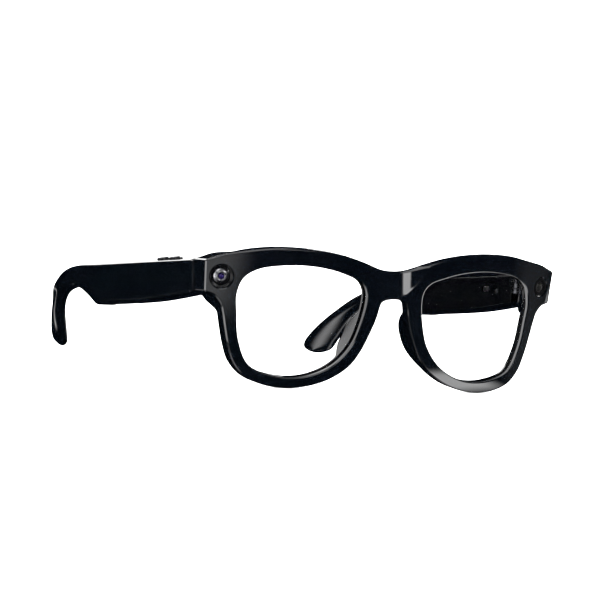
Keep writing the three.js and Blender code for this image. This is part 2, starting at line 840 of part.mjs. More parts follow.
// ---------- materials ----------
function finish(color, roughness, metalness) {
  return new THREE.MeshStandardMaterial({ color, roughness, metalness });
}

const glossBlack = () => finish(0x0a0c10, 0.18, 0);
const satinBlack = () => finish(0x14161a, 0.45, 0);
const steel = () => finish(0x9a9ca0, 0.3, 1);
const darkMetal = () => finish(0x2a2c30, 0.35, 1);
const gold = () => finish(0xc8a24a, 0.3, 1);
const boardGreen = () => finish(0x12402a, 0.6, 0);
const foil = () => finish(0xb8babd, 0.4, 0.8);
const polyimide = () => finish(0xa06a1c, 0.5, 0);

function clearLens() {
  const material = finish(0xf4f8fa, 0.03, 0);
  material.transparent = true;
  material.opacity = 0.12;
  return material;
}

// ---------- assembly ----------
// Puts the origin under the middle of the whole set, at the height it stands on.
function standOnGround(group) {
  const bounds = new THREE.Box3().setFromObject(group);
  const middle = bounds.getCenter(new THREE.Vector3());
  group.position.set(-middle.x, -middle.y, -bounds.min.z);
}

function buildGlasses() {
  const group = new THREE.Group();
  group.name = 'smart_glasses';
  const leanAll = new THREE.Matrix4().makeRotationX(lean);
  const add = (name, geometry, material) => {
    const body = closedBody(geometry);
    body.applyMatrix4(leanAll);
    body.computeVertexNormals();
    const mesh = new THREE.Mesh(body.toNonIndexed(), material);
    mesh.geometry.computeVertexNormals();
    mesh.name = name;
    group.add(mesh);
  };
  const sides = [
    { tag: 'right', place: mirror },
    { tag: 'left', place: (geometry) => geometry },
  ];

  add('front_frame', frontFrame(), glossBlack());
  add('charge_contact_right', chargeContact(-1), gold());
  add('charge_contact_left', chargeContact(1), gold());
  add('camera_bezel', mirror(cameraBezel()), satinBlack());
  add('camera_barrel', mirror(cameraBarrel()), darkMetal());
  add('camera_glass', mirror(cameraGlass()), clearLens());
  add('camera_board', mirror(cameraBoard()), boardGreen());
  add('indicator_bezel', indicatorBezel(), satinBlack());
  add('indicator_light_pipe', indicatorPipe(), finish(0x6a6e66, 0.3, 0));
  add('indicator_board', indicatorBoard(), boardGreen());

  for (const { tag, place } of sides) {
    const block = (name) => place(slopedBox(...blocks[name]));
    add(`lens_${tag}`, place(lens()), clearLens());
    add(`hinge_front_leaf_${tag}`, place(frontLeaf()), steel());
    add(`hinge_temple_leaf_${tag}`, place(templeLeaf()), steel());
    add(`hinge_pin_${tag}`, place(hingePin()), darkMetal());
    hingeScrewSpots.forEach((z, i) => {
      add(`hinge_screw_${i + 1}_${tag}`, place(hingeScrew(z)), darkMetal());
    });
    coverScrewSpots.forEach((spot, i) => {
      add(`cover_screw_${i + 1}_${tag}`, place(fittedCoverScrew(spot)), darkMetal());
    });
    add(`speaker_${tag}`, block('speaker'), satinBlack());
    add(`speaker_grille_${tag}`, place(speakerGrille()), darkMetal());
    add(`tip_core_wire_${tag}`, place(coreWirePath(wireRadius, 0, 0)), steel());
  }

  add('temple_shell_right', mirror(rightTempleShell()), glossBlack());
  add('temple_cover_right', mirror(templeCover([])), satinBlack());
  add('main_board', mirror(slopedBox(...blocks.mainBoard)), boardGreen());
  add('touch_flex', mirror(slopedBox(...blocks.touchFlex)), polyimide());
  add('button_board', mirror(slopedBox(...blocks.buttonBoard)), boardGreen());
  add('capture_button', mirror(pressButton(buttons.capture)), satinBlack());
  add('option_button', mirror(pressButton(buttons.option)), satinBlack());
  portSpots.forEach((y, i) => add(`mic_port_${i + 1}`, mirror(micPort(y)), satinBlack()));

  add('temple_shell_left', templeShell([]), glossBlack());
  add('temple_cover_left', templeCover([switchSlotCut()]), satinBlack());
  add('battery', slopedBox(...blocks.battery), foil());
  add('power_switch', powerSwitch(), satinBlack());
  standOnGround(group);
  return group;
}

export default buildGlasses();
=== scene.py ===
import json
from math import atan, ceil, cos, pi, radians, sin, sqrt, tan

import bmesh
import bpy
import numpy as np
from mathutils import Matrix, Vector

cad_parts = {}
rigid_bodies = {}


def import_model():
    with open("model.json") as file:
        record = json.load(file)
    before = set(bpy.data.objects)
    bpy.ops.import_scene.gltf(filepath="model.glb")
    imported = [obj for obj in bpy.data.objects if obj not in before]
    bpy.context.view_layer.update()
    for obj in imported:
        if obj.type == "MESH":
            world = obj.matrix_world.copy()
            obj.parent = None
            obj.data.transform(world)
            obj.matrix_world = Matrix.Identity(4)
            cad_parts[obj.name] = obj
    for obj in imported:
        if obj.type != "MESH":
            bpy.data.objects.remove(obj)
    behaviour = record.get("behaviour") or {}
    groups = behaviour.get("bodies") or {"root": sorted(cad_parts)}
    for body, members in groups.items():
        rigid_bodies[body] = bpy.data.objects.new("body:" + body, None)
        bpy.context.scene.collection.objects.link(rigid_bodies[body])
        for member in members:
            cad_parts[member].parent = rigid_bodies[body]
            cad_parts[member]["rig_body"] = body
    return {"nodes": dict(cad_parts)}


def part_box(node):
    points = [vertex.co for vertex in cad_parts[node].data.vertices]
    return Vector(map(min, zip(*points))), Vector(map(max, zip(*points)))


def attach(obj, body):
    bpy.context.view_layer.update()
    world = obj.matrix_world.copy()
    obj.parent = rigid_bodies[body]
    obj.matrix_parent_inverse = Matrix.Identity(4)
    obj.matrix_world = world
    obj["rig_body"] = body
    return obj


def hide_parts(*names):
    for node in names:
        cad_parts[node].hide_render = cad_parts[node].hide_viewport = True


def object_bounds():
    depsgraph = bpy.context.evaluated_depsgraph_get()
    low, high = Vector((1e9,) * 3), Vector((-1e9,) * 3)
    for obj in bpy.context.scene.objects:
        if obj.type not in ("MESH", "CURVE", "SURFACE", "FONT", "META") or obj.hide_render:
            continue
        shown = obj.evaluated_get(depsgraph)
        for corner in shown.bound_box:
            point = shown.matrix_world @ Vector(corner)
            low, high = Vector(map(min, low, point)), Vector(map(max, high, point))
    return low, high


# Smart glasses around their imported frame. Fine meshes are drawn in millimetres in the
# front's own frame, where the front faces -Y and side +1 is the wearer's left, then
# leaned and moved on to the frame. Lengths in that drawing are millimetres.
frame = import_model()
nodes = frame["nodes"]
norm = np.linalg.norm
cad_box = [list(corner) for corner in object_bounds()]

MM = 0.001
MIRROR = np.array([-1, 1, 1])
LEAN = radians(4.3)
LEAN_TURN = np.array([[1, 0, 0], [0, cos(LEAN), -sin(LEAN)],
                      [0, sin(LEAN), cos(LEAN)]])
SIDES = ((-1, "right"), (1, "left"))


# ---------- dimensions of the drawing ----------
WRAP_START = 12
WRAP_RATE = 0.0031
RIM_DEPTH = 5.2
PAD_DEPTH, PAD_X, PAD_Z = 6.2, 9.5, -20.0
PAD_HALF_WIDTH, PAD_HALF_HEIGHT = 7.0, 11.5
PAD_SPREAD, PAD_SPREAD_TOP = 0.37, -12.0
BLOCK_X, BLOCK_Z = (63.5, 67), (-13, -8.5)
HINGE_FACE = 21.5
END_DROP, END_DROP_X = 0.13, (58, 67)
EDGE_BEVEL = 0.5
OPENING_BEVEL = 0.35
RIM_GROWTH, RIM_GROWTH_ENDS, OPENING_INSET = 0.4, (68, 74), 0.3
END_CORNER, FRONT_STEP = 0.9, 0.62
GROOVE_FRONT, GROOVE_REAR, GROOVE_DEEP, GROOVE_EASE = 1.7, 3.7, 0.9, 0.1
LENS_FRONT, LENS_REAR, LENS_REACH = 2.0, 3.4, 0.7
EYE_X, EYE_Z = 68.8, 0.2
EYE_TILT = atan(2 * WRAP_RATE * (EYE_X - WRAP_START))
PIVOT_X, PIVOT_Y = 66.3, 23.6
TEMPLE_FRONT, TEMPLE_TOP, TEMPLE_SLOPE = 21.8, 4.5, 0.191
TEMPLE_MID, TEMPLE_THICK = 71.0, 8.0
TEMPLE_OUTER = TEMPLE_MID + TEMPLE_THICK / 2
WALL = 1.4
COVER_THICK = 1.2
CAVITY_OUTER = 73.6
COVER_INNER = TEMPLE_MID - TEMPLE_THICK / 2
CAVITY_INNER = COVER_INNER + COVER_THICK
COVER_START, COVER_END = 28.0, 102.0
FIT = 0.15
CONTACT_X, CONTACT_Y, CONTACT_RADIUS = 3.0, 4.8, 1.1

OPENING = [
    (14.3, 1.3), (20.5, 3.8), (29, 5.8), (38, 6.6), (47, 6.1), (56, 4.1), (61, 0.4),
    (62.9, -5.5), (62.3, -13), (60.6, -23), (56, -31.9), (46, -35.4), (34, -35.2),
    (23, -30.4), (16, -22.6), (13, -14.4), (11.6, -6.5), (11.9, -2.2),
]
# The outer edge of one half: a top run and a low run, each carried past the middle
# plane by mirrored knots so that the two halves meet smoothly.
TOP_EDGE = [
    (-8, 6.1), (-4, 5.1), (0, 4.8), (4, 5.1), (8, 6.1), (12.5, 7.6), (20.5, 9.9),
    (30, 11.5), (41, 12.1), (52, 11.5), (60, 10.1), (68, 8.3), (75, 6),
]
LOW_EDGE = [
    (74.2, -6), (70.5, -6.9), (68, -9.2), (66.7, -13), (65.4, -18.5), (63.6, -25.2),
    (61.2, -31), (57, -35.6), (50.5, -38.3), (41, -39.3), (31.5, -37.9), (23.5, -34.9),
    (16.6, -30.2), (12.6, -24.8), (9.3, -17.7), (7.2, -12), (6.2, -7.5), (5.5, -5.9),
    (3.5, -4.9), (0, -4.5), (-3.5, -4.9), (-5.5, -5.9),
]
UPPER_TEMPLE = [
    (21.8, 4.5), (57, -2.2), (94, -9.3), (111, -12.5), (122, -15.9), (133, -21.2),
    (143.6, -27.2), (152, -34.2), (157.5, -40.6), (160.6, -46.2),
]
LOWER_TEMPLE = [
    (21.8, -8.4), (53, -16.5), (88, -23.5), (95.5, -24.9), (103, -22.9), (110.5, -21.4),
    (118.5, -21.9), (129.6, -25.8), (138.6, -33.2), (142.8, -42.6),
]


def frame_shift():
    """Where the drawing's origin lies in the frame, in metres, from a contact whose
    middle is known in the drawing."""
    low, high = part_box("charge_contact_left")
    middle = np.array([CONTACT_X, CONTACT_Y, 0])
    return (np.array(low) + np.array(high)) / 2 - LEAN_TURN @ middle * MM


SHIFT = frame_shift()


def to_frame(points):
    """Drawing points in millimetres as frame points in metres."""
    return np.asarray(points, float) @ LEAN_TURN.T * MM + SHIFT


# ---------- curves ----------
def rise(low, high, value):
    """A smooth step from 0 at low to 1 at high."""
    t = np.clip((value - low) / (high - low), 0, 1)
    return t * t * (3 - 2 * t)


class Spline:
    """A centripetal Catmull-Rom curve, read by knot number."""

    def __init__(self, knots, closed=False):
        self.knots = np.array(knots, float)
        self.closed = closed

    def __call__(self, u):
        u, k = np.atleast_1d(np.asarray(u, float)), self.knots
        index = np.floor(u).astype(int)
        if self.closed:
            near = [k[(index + step) % len(k)] for step in (-1, 0, 1, 2)]
        else:
            index = np.clip(index, 0, len(k) - 2)
            k = np.vstack([2 * k[0] - k[1], k, 2 * k[-1] - k[-2]])
            near = [k[index + step] for step in range(4)]
        p0, p1, p2, p3 = near
        g0, g1, g2 = (norm(b - a, axis=1, keepdims=True) ** 0.5 for a, b in zip(near, near[1:]))
        w = (u - index)[:, None]
        leave = ((p1 - p0) / g0 - (p2 - p0) / (g0 + g1) + (p2 - p1) / g1) * g1
        enter = ((p2 - p1) / g1 - (p3 - p1) / (g1 + g2) + (p3 - p2) / g2) * g1
        rest = (3 * (p2 - p1) - 2 * leave - enter) * w**2 + (2 * (p1 - p2) + leave + enter) * w**3
        return p1 + leave * w + rest

    def run(self, start, end, count=400):
        """Points evenly spaced along the curve between two knot numbers."""
        u = np.linspace(start, end, 8 * count)
        points = self(u)
        way = path_length(points)
        spots = np.interp(np.linspace(0, way[-1], count), way, u)
        return self(spots)


def path_length(points):
    """How far along a path each of its points lies."""
    steps = norm(np.diff(points, axis=0), axis=1)
    return np.concatenate([[0], np.cumsum(steps)])


def unit(steps):
    return steps / norm(steps, axis=1, keepdims=True)


def full_turn(count):
    return np.linspace(0, 2 * pi, count, endpoint=False)


def pair(u, v):
    return np.stack([u, v], axis=1)


def turned(steps):
    """Plane steps turned a quarter to the left."""
    return pair(-steps[:, 1], steps[:, 0])


def round_off(start, corner, end, t):
    """A point on the curve that cuts a corner."""
    return start * (1 - t) ** 2 + 2 * corner * t * (1 - t) + end * t * t


def rounded_corner(points, corner, radius):
    """Rounds a corner of a dense open path from one radius before it to one after."""
    way = path_length(points)
    middle = way[corner]
    before, after = middle - radius, middle + radius
    start, end = along(points, way, [before, after])
    turn = round_off(start, points[corner], end, np.linspace(0, 1, 41)[:, None])
    inside = (way > before) & (way < after)
    first = np.argmax(inside)
    last = len(inside) - np.argmax(inside[::-1])
    return np.vstack([points[:first], turn, points[last:]])


def stations(points, longest, most_turn):
    """Distances along a dense path with no step longer than `longest` or turning more
    than `most_turn` degrees."""
    way = path_length(points)
    steps = np.diff(points, axis=0)
    heading = np.unwrap(np.arctan2(steps[:, 1], steps[:, 0]))
    middles = (way[:-1] + way[1:]) / 2
    turn = np.abs(np.gradient(heading, middles))
    turn = np.convolve(np.pad(turn, 4, mode="edge"), np.ones(9) / 9, mode="valid")
    density = np.maximum(1 / longest, turn / radians(most_turn))
    total = np.concatenate([[0], np.cumsum(density * np.diff(way))])
    count = int(ceil(total[-1]))
    return np.interp(np.linspace(0, total[-1], count + 1), total, way)


def along(points, way, values):
    """Interpolates a path at the given distances."""
    return pair(*(np.interp(values, way, points[:, k]) for k in (0, 1)))


def headings(points, way, values):
    """Unit direction of travel of a path at the given distances."""
    reach = 0.05
    low = np.clip(values - reach, 0, way[-1])
    high = np.clip(values + reach, 0, way[-1])
    return unit(along(points, way, high) - along(points, way, low))


def soft_chamfer(size, radius, parts=3):
    """A chamfer with softened corners, as pairs of inset from the edge and depth below
    the face. A tight pair at each end keeps face and wall flat up to the chamfer."""
    hold = 0.07
    reach = min(radius * tan(radians(22.5)), 0.4 * size)
    slant = np.array([-1, 1]) / sqrt(2)
    corners = [
        (np.array([size, 0.0]), np.array([1.0, 0.0]), slant),
        (np.array([0.0, size]), -slant, np.array([0.0, 1.0])),
    ]
    pairs = [(size + reach + hold, 0.0)]
    for corner, back, on in corners:
        for t in np.arange(parts + 1) / parts:
            pairs.append(round_off(corner + back * reach, corner, corner + on * reach, t))
    pairs.append((0.0, size + reach + hold))
    return np.array(pairs)


def softened(corners, radius, parts=3):
    """Rounds the corners of a polygon, each limited by its neighbours."""
    corners = np.array(corners, float)
    radii = np.broadcast_to(radius, len(corners))
    made = []
    for i, corner in enumerate(corners):
        if radii[i] <= 0:
            made.append(corner)
            continue
        back, on = corners[i - 1] - corner, corners[(i + 1) % len(corners)] - corner
        reach = min(radii[i], 0.45 * norm(back), 0.45 * norm(on))
        start = corner + back / norm(back) * reach
        end = corner + on / norm(on) * reach
        for t in np.arange(parts + 1) / parts:
            made.append(round_off(start, corner, end, t))
    return np.array(made)


# ---------- meshes ----------
def shown(name, data):
    thing = bpy.data.objects.new(name, data)
    bpy.context.scene.collection.objects.link(thing)
    return thing


def mesh_object(name, points, faces):
    mesh = bpy.data.meshes.new(name)
    mesh.from_pydata(np.asarray(points, float).tolist(), [], faces)
    return shown(name, mesh)


def raw_object(name, points, faces):
    thing = mesh_object(name, points, faces)
    clean(thing, 2e-4)
    return thing


def clean(thing, weld):
    """Welds equal points, drops collapsed faces and turns the faces outward."""
    work = bmesh.new()
    work.from_mesh(thing.data)
    bmesh.ops.remove_doubles(work, verts=work.verts, dist=weld)
    bmesh.ops.dissolve_degenerate(work, edges=work.edges, dist=weld / 2)
    bmesh.ops.recalc_face_normals(work, faces=work.faces)
    work.to_mesh(thing.data)
    work.free()


def skin(rings, around=True, onward=False):
    """Quads over an array of rings, shape (rings, points, 3)."""
    count, size = rings.shape[:2]
    index = np.arange(count * size).reshape(count, size)
    nxt = np.roll(index, -1, axis=0) if onward else index[1:]
    here = index if onward else index[:-1]
    beside, over = np.roll(here, -1, axis=1), np.roll(nxt, -1, axis=1)
    if not around:
        here, nxt, beside, over = here[:, :-1], nxt[:, :-1], beside[:, :-1], over[:, :-1]
    quads = np.stack([here, nxt, over, beside], axis=-1).reshape(-1, 4)
    return rings.reshape(-1, 3), quads.tolist()


def lathe(name, profile, turns=96, soft=0.0):
    """A closed turned body from [radius, depth] corners. Depth runs along +Y."""
    profile = softened(profile, [soft if r > 0 else 0 for r, _ in profile])
    angle = full_turn(turns)[:, None]
    radius, depth = profile.T
    rings = stack(radius * np.sin(angle), depth, radius * np.cos(angle))
    return raw_object(name, *skin(rings, onward=True))


def slab(name, outline, low, high, edge, place):
    """A plate over a closed outline (u, v) from depth low to high, its rims eased by
    `edge`. `place` turns arrays u, v, depth into drawing points."""
    outline = np.array(outline, float)
    us, vs = outline.T
    area = 0.5 * np.sum(us * np.roll(vs, -1) - np.roll(us, -1) * vs)
    step = unit(np.roll(outline, -1, axis=0) - np.roll(outline, 1, axis=0))
    inward = turned(step) * np.sign(area)
    if edge > 0:
        ease = [(edge * (1 - sin(a)), edge * (1 - cos(a)))
                for a in np.linspace(0, pi / 2, 4)]
        ease = [(1.6 * edge, 0.0), *ease]
    else:
        ease = [(0.0, 0.0)]
    levels = [(inset, low + drop) for inset, drop in ease]
    levels += [(inset, high - drop) for inset, drop in reversed(ease)]
    rings = [place(*(outline + inward * inset).T, depth) for inset, depth in levels]
    points, quads = skin(np.array(rings))
    size = len(outline)
    quads.append(list(range(size)))
    quads.append(list(range((len(levels) - 1) * size, len(levels) * size)))
    return raw_object(name, points, quads)


def tool(*shape):
    """A slab that is cut away from another or joined to it."""
    return slab("tool", *shape)


def box_outline(us, vs, radius=0.0, parts=4):
    corners = [(us[0], vs[0]), (us[1], vs[0]), (us[1], vs[1]), (us[0], vs[1])]
    return softened(corners, radius, parts) if radius > 0 else np.array(corners, float)


def circle(radius, turns=64, centre=(0.0, 0.0)):
    angle = full_turn(turns)
    return pair(centre[0] + radius * np.cos(angle), centre[1] + radius * np.sin(angle))


def stack(x, y, z):
    return np.stack(np.broadcast_arrays(x, y, z), axis=-1).astype(float)


def across_x(u, v, depth):
    return stack(depth, u, v)


def along_y(u, v, depth):
    return stack(u, depth, v)


def along_z(u, v, depth):
    return stack(u, v, depth)


def join(thing, *tools):
    return carve(thing, *tools, operation="UNION")


def carve(thing, *tools, operation="DIFFERENCE"):
    """Cuts the tools from thing, or joins them to it, and removes the tools."""
    for i, tool in enumerate(tools):
        step = thing.modifiers.new(f"cut{i}", "BOOLEAN")
        step.operation = operation
        step.solver = "MANIFOLD"
        step.object = tool
    settle(thing)
    for tool in tools:
        bpy.data.objects.remove(tool)
    return thing


def settle(thing):
    """Applies the modifiers of thing to its mesh."""
    graph = bpy.context.evaluated_depsgraph_get()
    thing.data = bpy.data.meshes.new_from_object(thing.evaluated_get(graph))
    thing.modifiers.clear()


def moved(thing, change):
    """Applies a function of an (n, 3) array to the mesh points."""
    mesh = thing.data
    points = np.zeros(len(mesh.vertices) * 3)
    mesh.vertices.foreach_get("co", points)
    mesh.vertices.foreach_set("co", change(points.reshape(-1, 3)).ravel())
    mesh.update()
    return thing


def onto_end_piece(points):
    """Moves a turned insert to its place on the wearer's left end piece."""
    c, s = cos(EYE_TILT), sin(EYE_TILT)
    turn = np.array([[c, -s, 0], [s, c, 0], [0, 0, 1]])
    return points @ turn.T + np.array([EYE_X, wrap(EYE_X), EYE_Z])


def piece(thing, side, body, material, node, smooth=32):
    """Finishes a drawn piece: mirrors it to its side, moves it on to the frame,
    gives it its body and material, and hides the CAD node that it stands for."""
    moved(thing, lambda points: to_frame(points * np.array([side, 1, 1])))
    clean(thing, 2e-7)
    work = bmesh.new()
    work.from_mesh(thing.data)
    for face in work.faces:
        face.smooth = True
    for edge in work.edges:
        edge.smooth = edge.calc_face_angle(0) < radians(smooth)
    work.to_mesh(thing.data)
    work.free()
    thing.data.materials.clear()
    thing.data.materials.append(material)
    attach(thing, body)
    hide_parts(node)


class Nodes:
    """Short way to lay out one material's nodes."""

    def __init__(self, name):
        self.material = bpy.data.materials.new(name)
        self.material.use_nodes = True
        self.tree = self.material.node_tree
        self.shader = self.tree.nodes["Principled BSDF"]
        self.place = self.tree.nodes.new("ShaderNodeTexCoord").outputs["Object"]

    def link(self, output, target):
        self.tree.links.new(output, target)

    def set(self, **values):
        for name, value in values.items():
            self.shader.inputs[name.replace("_", " ")].default_value = value

    def feed(self, **outputs):
        for name, output in outputs.items():
            self.link(output, self.shader.inputs[name.replace("_", " ")])

    def add(self, kind, *sources, values={}, **settings):
        """A new node with input values, and with its first inputs linked to sources."""
        made = self.tree.nodes.new("ShaderNode" + kind)
        for name, value in settings.items():
            setattr(made, name, value)
        for name, value in values.items():
            made.inputs[name].default_value = value
        for source, target in zip(sources, made.inputs):
            self.link(source, target)
        return made

    def noise(self, scale, detail=3.0, stretch=(1, 1, 1)):
        """Noise with `scale` features in a metre. Returns the 0 to 1 output."""
        around = self.add("Mapping", self.place, values={"Scale": stretch}).outputs["Vector"]
        made = self.add("TexNoise", around, values={"Scale": scale, "Detail": detail})
        return made.outputs["Fac"]

    def span(self, value, low, high, start=0.3, end=0.7):
        """Maps start..end of a value to low..high."""
        ends = {"From Min": start, "From Max": end, "To Min": low, "To Max": high}
        made = self.add("MapRange", value, values=ends, interpolation_type="SMOOTHSTEP")
        return made.outputs["Result"]

    def blend(self, value, one, two):
        made = self.add("Mix", value, values={"A": (*one, 1), "B": (*two, 1)}, data_type="RGBA")
        return made.outputs["Result"]

    def bump(self, height, distance):
        made = self.add("Bump", values={"Distance": distance})
        self.link(height, made.inputs["Height"])
        return made.outputs["Normal"]


def moulded(name, dark, light, rough, grain, depth, ior=1.5):
    """Moulded plastic: faint colour drift, uneven gloss and a fine skin."""
    mottle = 45
    n = Nodes(name)
    n.set(IOR=ior)
    n.feed(Base_Color=n.blend(n.span(n.noise(mottle), 0, 1), dark, light),
           Roughness=n.span(n.noise(mottle * 3, 4), *rough),
           Normal=n.bump(n.noise(grain, 2), depth))
    return n.material


def metal(name, dark, light, rough, stretch, grain=2600, depth=6e-6):
    """Metal with a drawn grain along one direction."""
    n = Nodes(name)
    n.set(Metallic=1.0)
    n.feed(Base_Color=n.blend(n.span(n.noise(300, 2, stretch), 0, 1), dark, light),
           Roughness=n.span(n.noise(700, 3, stretch), *rough),
           Normal=n.bump(n.noise(grain, 2, stretch), depth))
    return n.material


gloss_black = moulded(
    "gloss_black", (0.0005, 0.0009, 0.0015), (0.0008, 0.0012, 0.0019),
    (0.05, 0.085), 700, 1.5e-8)
satin_black = moulded(
    "satin_black", (0.0016, 0.0020, 0.0028), (0.0028, 0.0032, 0.0042), (0.34, 0.44), 5000, 1e-6)
deep_black = moulded(
    "deep_black", (0.0006, 0.0007, 0.0010), (0.0010, 0.0012, 0.0016), (0.16, 0.24), 5000, 4e-7)
well_black = moulded(
    "well_black", (0.0006, 0.0007, 0.0010), (0.0010, 0.0012, 0.0016), (0.4, 0.5), 5000, 4e-7, 1.18)
steel = metal("steel", (0.045, 0.047, 0.052), (0.07, 0.072, 0.078), (0.2, 0.3), (1, 1, 6))
dark_metal = metal("dark_metal", (0.06, 0.062, 0.07), (0.11, 0.112, 0.12), (0.26, 0.4), (6, 1, 1))
barrel_metal = metal(
    "barrel_metal", (0.19, 0.19, 0.20), (0.25, 0.25, 0.26), (0.26, 0.32), (1, 1, 1), 4000, 3e-7)
gold = metal("contact_gold", (0.72, 0.50, 0.20), (0.84, 0.62, 0.28), (0.18, 0.3), (1, 1, 1))
foil = metal("foil", (0.62, 0.63, 0.65), (0.74, 0.75, 0.77), (0.3, 0.45), (1, 4, 1), 900, 4e-5)
board = moulded("board", (0.010, 0.060, 0.030), (0.018, 0.085, 0.042), (0.4, 0.55), 3000, 8e-6)
flex = moulded("flex", (0.30, 0.15, 0.03), (0.40, 0.21, 0.05), (0.35, 0.5), 2500, 5e-6)
light_pipe = moulded(
    "light_pipe", (0.0030, 0.0032, 0.0026), (0.0050, 0.0052, 0.0044), (0.25, 0.4), 5000, 3e-6)


def clear(name, tint, alpha, rough):
    """Clear glass or plastic, carried by a plain alpha, with faint smears in its gloss."""
    n = Nodes(name)
    n.set(Base_Color=(*tint, 1), Alpha=alpha, IOR=1.5)
    n.feed(Roughness=n.span(n.noise(60, 4), *rough), Normal=n.bump(n.noise(900, 2), 5e-8))
    return n.material


clear_lens = clear("clear_lens", (0.001, 0.001, 0.001), 0.03, (0.01, 0.04))


def coated_glass():
    """The camera's front glass: near black, with a violet coating seen at its middle."""
    n = Nodes("coated_glass")
    n.set(IOR=1.5, Specular_Tint=(0.62, 0.5, 1.0, 1), Coat_Weight=0.1, Coat_Roughness=0.02)
    tint = n.blend(n.span(n.noise(900), 0, 1), (0.004, 0.003, 0.020), (0.008, 0.005, 0.034))
    n.feed(Base_Color=tint, Roughness=n.span(n.noise(300), 0.02, 0.05))
    return n.material


camera_coating = coated_glass()


# ---------- front ----------
def wrap(x):
    return WRAP_RATE * np.maximum(0, np.abs(x) - WRAP_START) ** 2


SCOOP_TOP, SCOOP_BOTTOM, SCOOP_HEIGHT, SCOOP_DEPTH = 27.0, 20.0, 24.0, 1.2
SCOOP_SOFT, CREASE_GAP = 0.06, 0.12


def scoop(x, z):
    """How far behind y = 0 the bridge's scooped surface lies. It is part of a cone
    that stands almost upright in front of the bridge."""
    mean = (SCOOP_TOP + SCOOP_BOTTOM) / 2
    radius = mean + z * (SCOOP_TOP - SCOOP_BOTTOM) / SCOOP_HEIGHT
    return SCOOP_DEPTH - mean + np.sqrt(np.maximum(radius**2 - x**2, 0))


def face(x, z):
    """The front face: the wrapped front, scooped at the bridge."""
    flat, hollow = wrap(x), scoop(x, z)
    blend = np.sqrt((flat - hollow) ** 2 + SCOOP_SOFT**2)
    return 0.5 * (flat + hollow + blend) - 0.5 * SCOOP_SOFT * (hollow < flat)


def rear_depth(x, z):
    """Depth of the front's rear: thicker at the nose pads and behind the end pieces."""
    reach = np.abs(x)
    pad_x = PAD_X + PAD_SPREAD * np.maximum(0, PAD_SPREAD_TOP - z)
    away = ((reach - pad_x) / PAD_HALF_WIDTH) ** 2 + ((z - PAD_Z) / PAD_HALF_HEIGHT) ** 2
    bulge = rise(0, 1, 1 - away)
    block = rise(*BLOCK_X, reach) * rise(*BLOCK_Z, z)
    return RIM_DEPTH + PAD_DEPTH * bulge + (HINGE_FACE - wrap(x) - RIM_DEPTH) * block


def placed(spot, depth, from_face=False):
    """Points (x, z) of the front at a depth below its wrap, or below its scooped face."""
    x, z = spot[:, 0], spot[:, 1]
    start = face(x, z) if from_face else wrap(x)
    fall = END_DROP * depth * rise(*END_DROP_X, np.abs(x))
    return stack(x, start + depth, z - fall)


def opening_edge_at(knot):
    """Points of the opening's edge, and the way out of the opening there."""
    opening, near = Spline(OPENING, True), 0.01
    return opening(knot), turned(unit(opening(knot + near) - opening(knot - near)))


def front_half():
    """Stations round one half of the front: inner and outer point, their normals and
    whether the station lies on the middle plane, where there is no edge."""
    top, low = Spline(TOP_EDGE), Spline(LOW_EDGE)
    runs = [
        (top.run(2, 6), 0, 1), (top.run(6, 10), 1, 5), (top.run(10, 12), 5, 6),
        (np.linspace(TOP_EDGE[-1], LOW_EDGE[0], 200), 6, 7), (low.run(0, 3), 7, 8),
        (low.run(3, 16), 8, 16), (low.run(16, 19), 16, 17),
    ]
    path = np.vstack([runs[0][0][:1], *[run[0][1:] for run in runs]])
    way = path_length(path)
    ends = np.cumsum([len(run[0]) - 1 for run in runs])
    marks = np.concatenate([[0], way[ends]])
    knots = [runs[0][1], *[run[2] for run in runs]]
    for corner in (path[ends[2]], path[ends[3]]):
        nearest = int(np.argmin(norm(path - corner, axis=1)))
        path = rounded_corner(path, nearest, END_CORNER)
    scale = way[-1] / path_length(path)[-1]
    way = path_length(path)
    spots = stations(path, FRONT_STEP, 5)
    knot = np.interp(spots * scale, marks, knots)
    outer, heading = along(path, way, spots), headings(path, way, spots)
    outer_in = -turned(heading)
    outer[0, 0] = outer[-1, 0] = 0.0
    outer_in[0], outer_in[-1] = (0, -1), (0, 1)
    # Stations down the middle plane, from knot 17 of the opening round to its first knot.
    middle, reach = 16, EDGE_BEVEL + 0.2
    low_z, high_z = LOW_EDGE[19][1] + reach, TOP_EDGE[2][1] - reach
    knot = np.concatenate([knot, 17 + np.linspace(0.03, 0.97, middle)])
    outer = np.vstack([outer, pair(np.zeros(middle), np.linspace(low_z, high_z, middle))])
    outer_in = np.vstack([outer_in, np.zeros((middle, 2))])
    on_middle = np.arange(len(knot)) >= len(spots)
    inner, inner_out = opening_edge_at(knot)
    growth = RIM_GROWTH * (1 - rise(*RIM_GROWTH_ENDS, outer[:, :1]))
    inner = inner - inner_out * OPENING_INSET
    outer = outer - outer_in * growth
    return inner, outer, inner_out, outer_in, on_middle


def crease_share(inner, outer):
    """How far from inner to outer each station crosses the edge of the scoop."""
    share = np.linspace(0, 1, 400)
    spots = inner[:, None, :] + (outer - inner)[:, None, :] * share[None, :, None]
    deeper = scoop(spots[..., 0], spots[..., 1]) > wrap(spots[..., 0])
    crossed = deeper.any(axis=1)
    return np.where(crossed, share[np.argmax(deeper, axis=1)], 1.0)


def on_rear(spot, drop=0.0):
    return placed(spot, rear_depth(spot[:, 0], spot[:, 1]) - drop)


def between(a, b, count):
    """Evenly spaced mixes of a and b, both ends left out."""
    return [a + (b - a) * t for t in np.linspace(0, 1, count)[1:-1]]


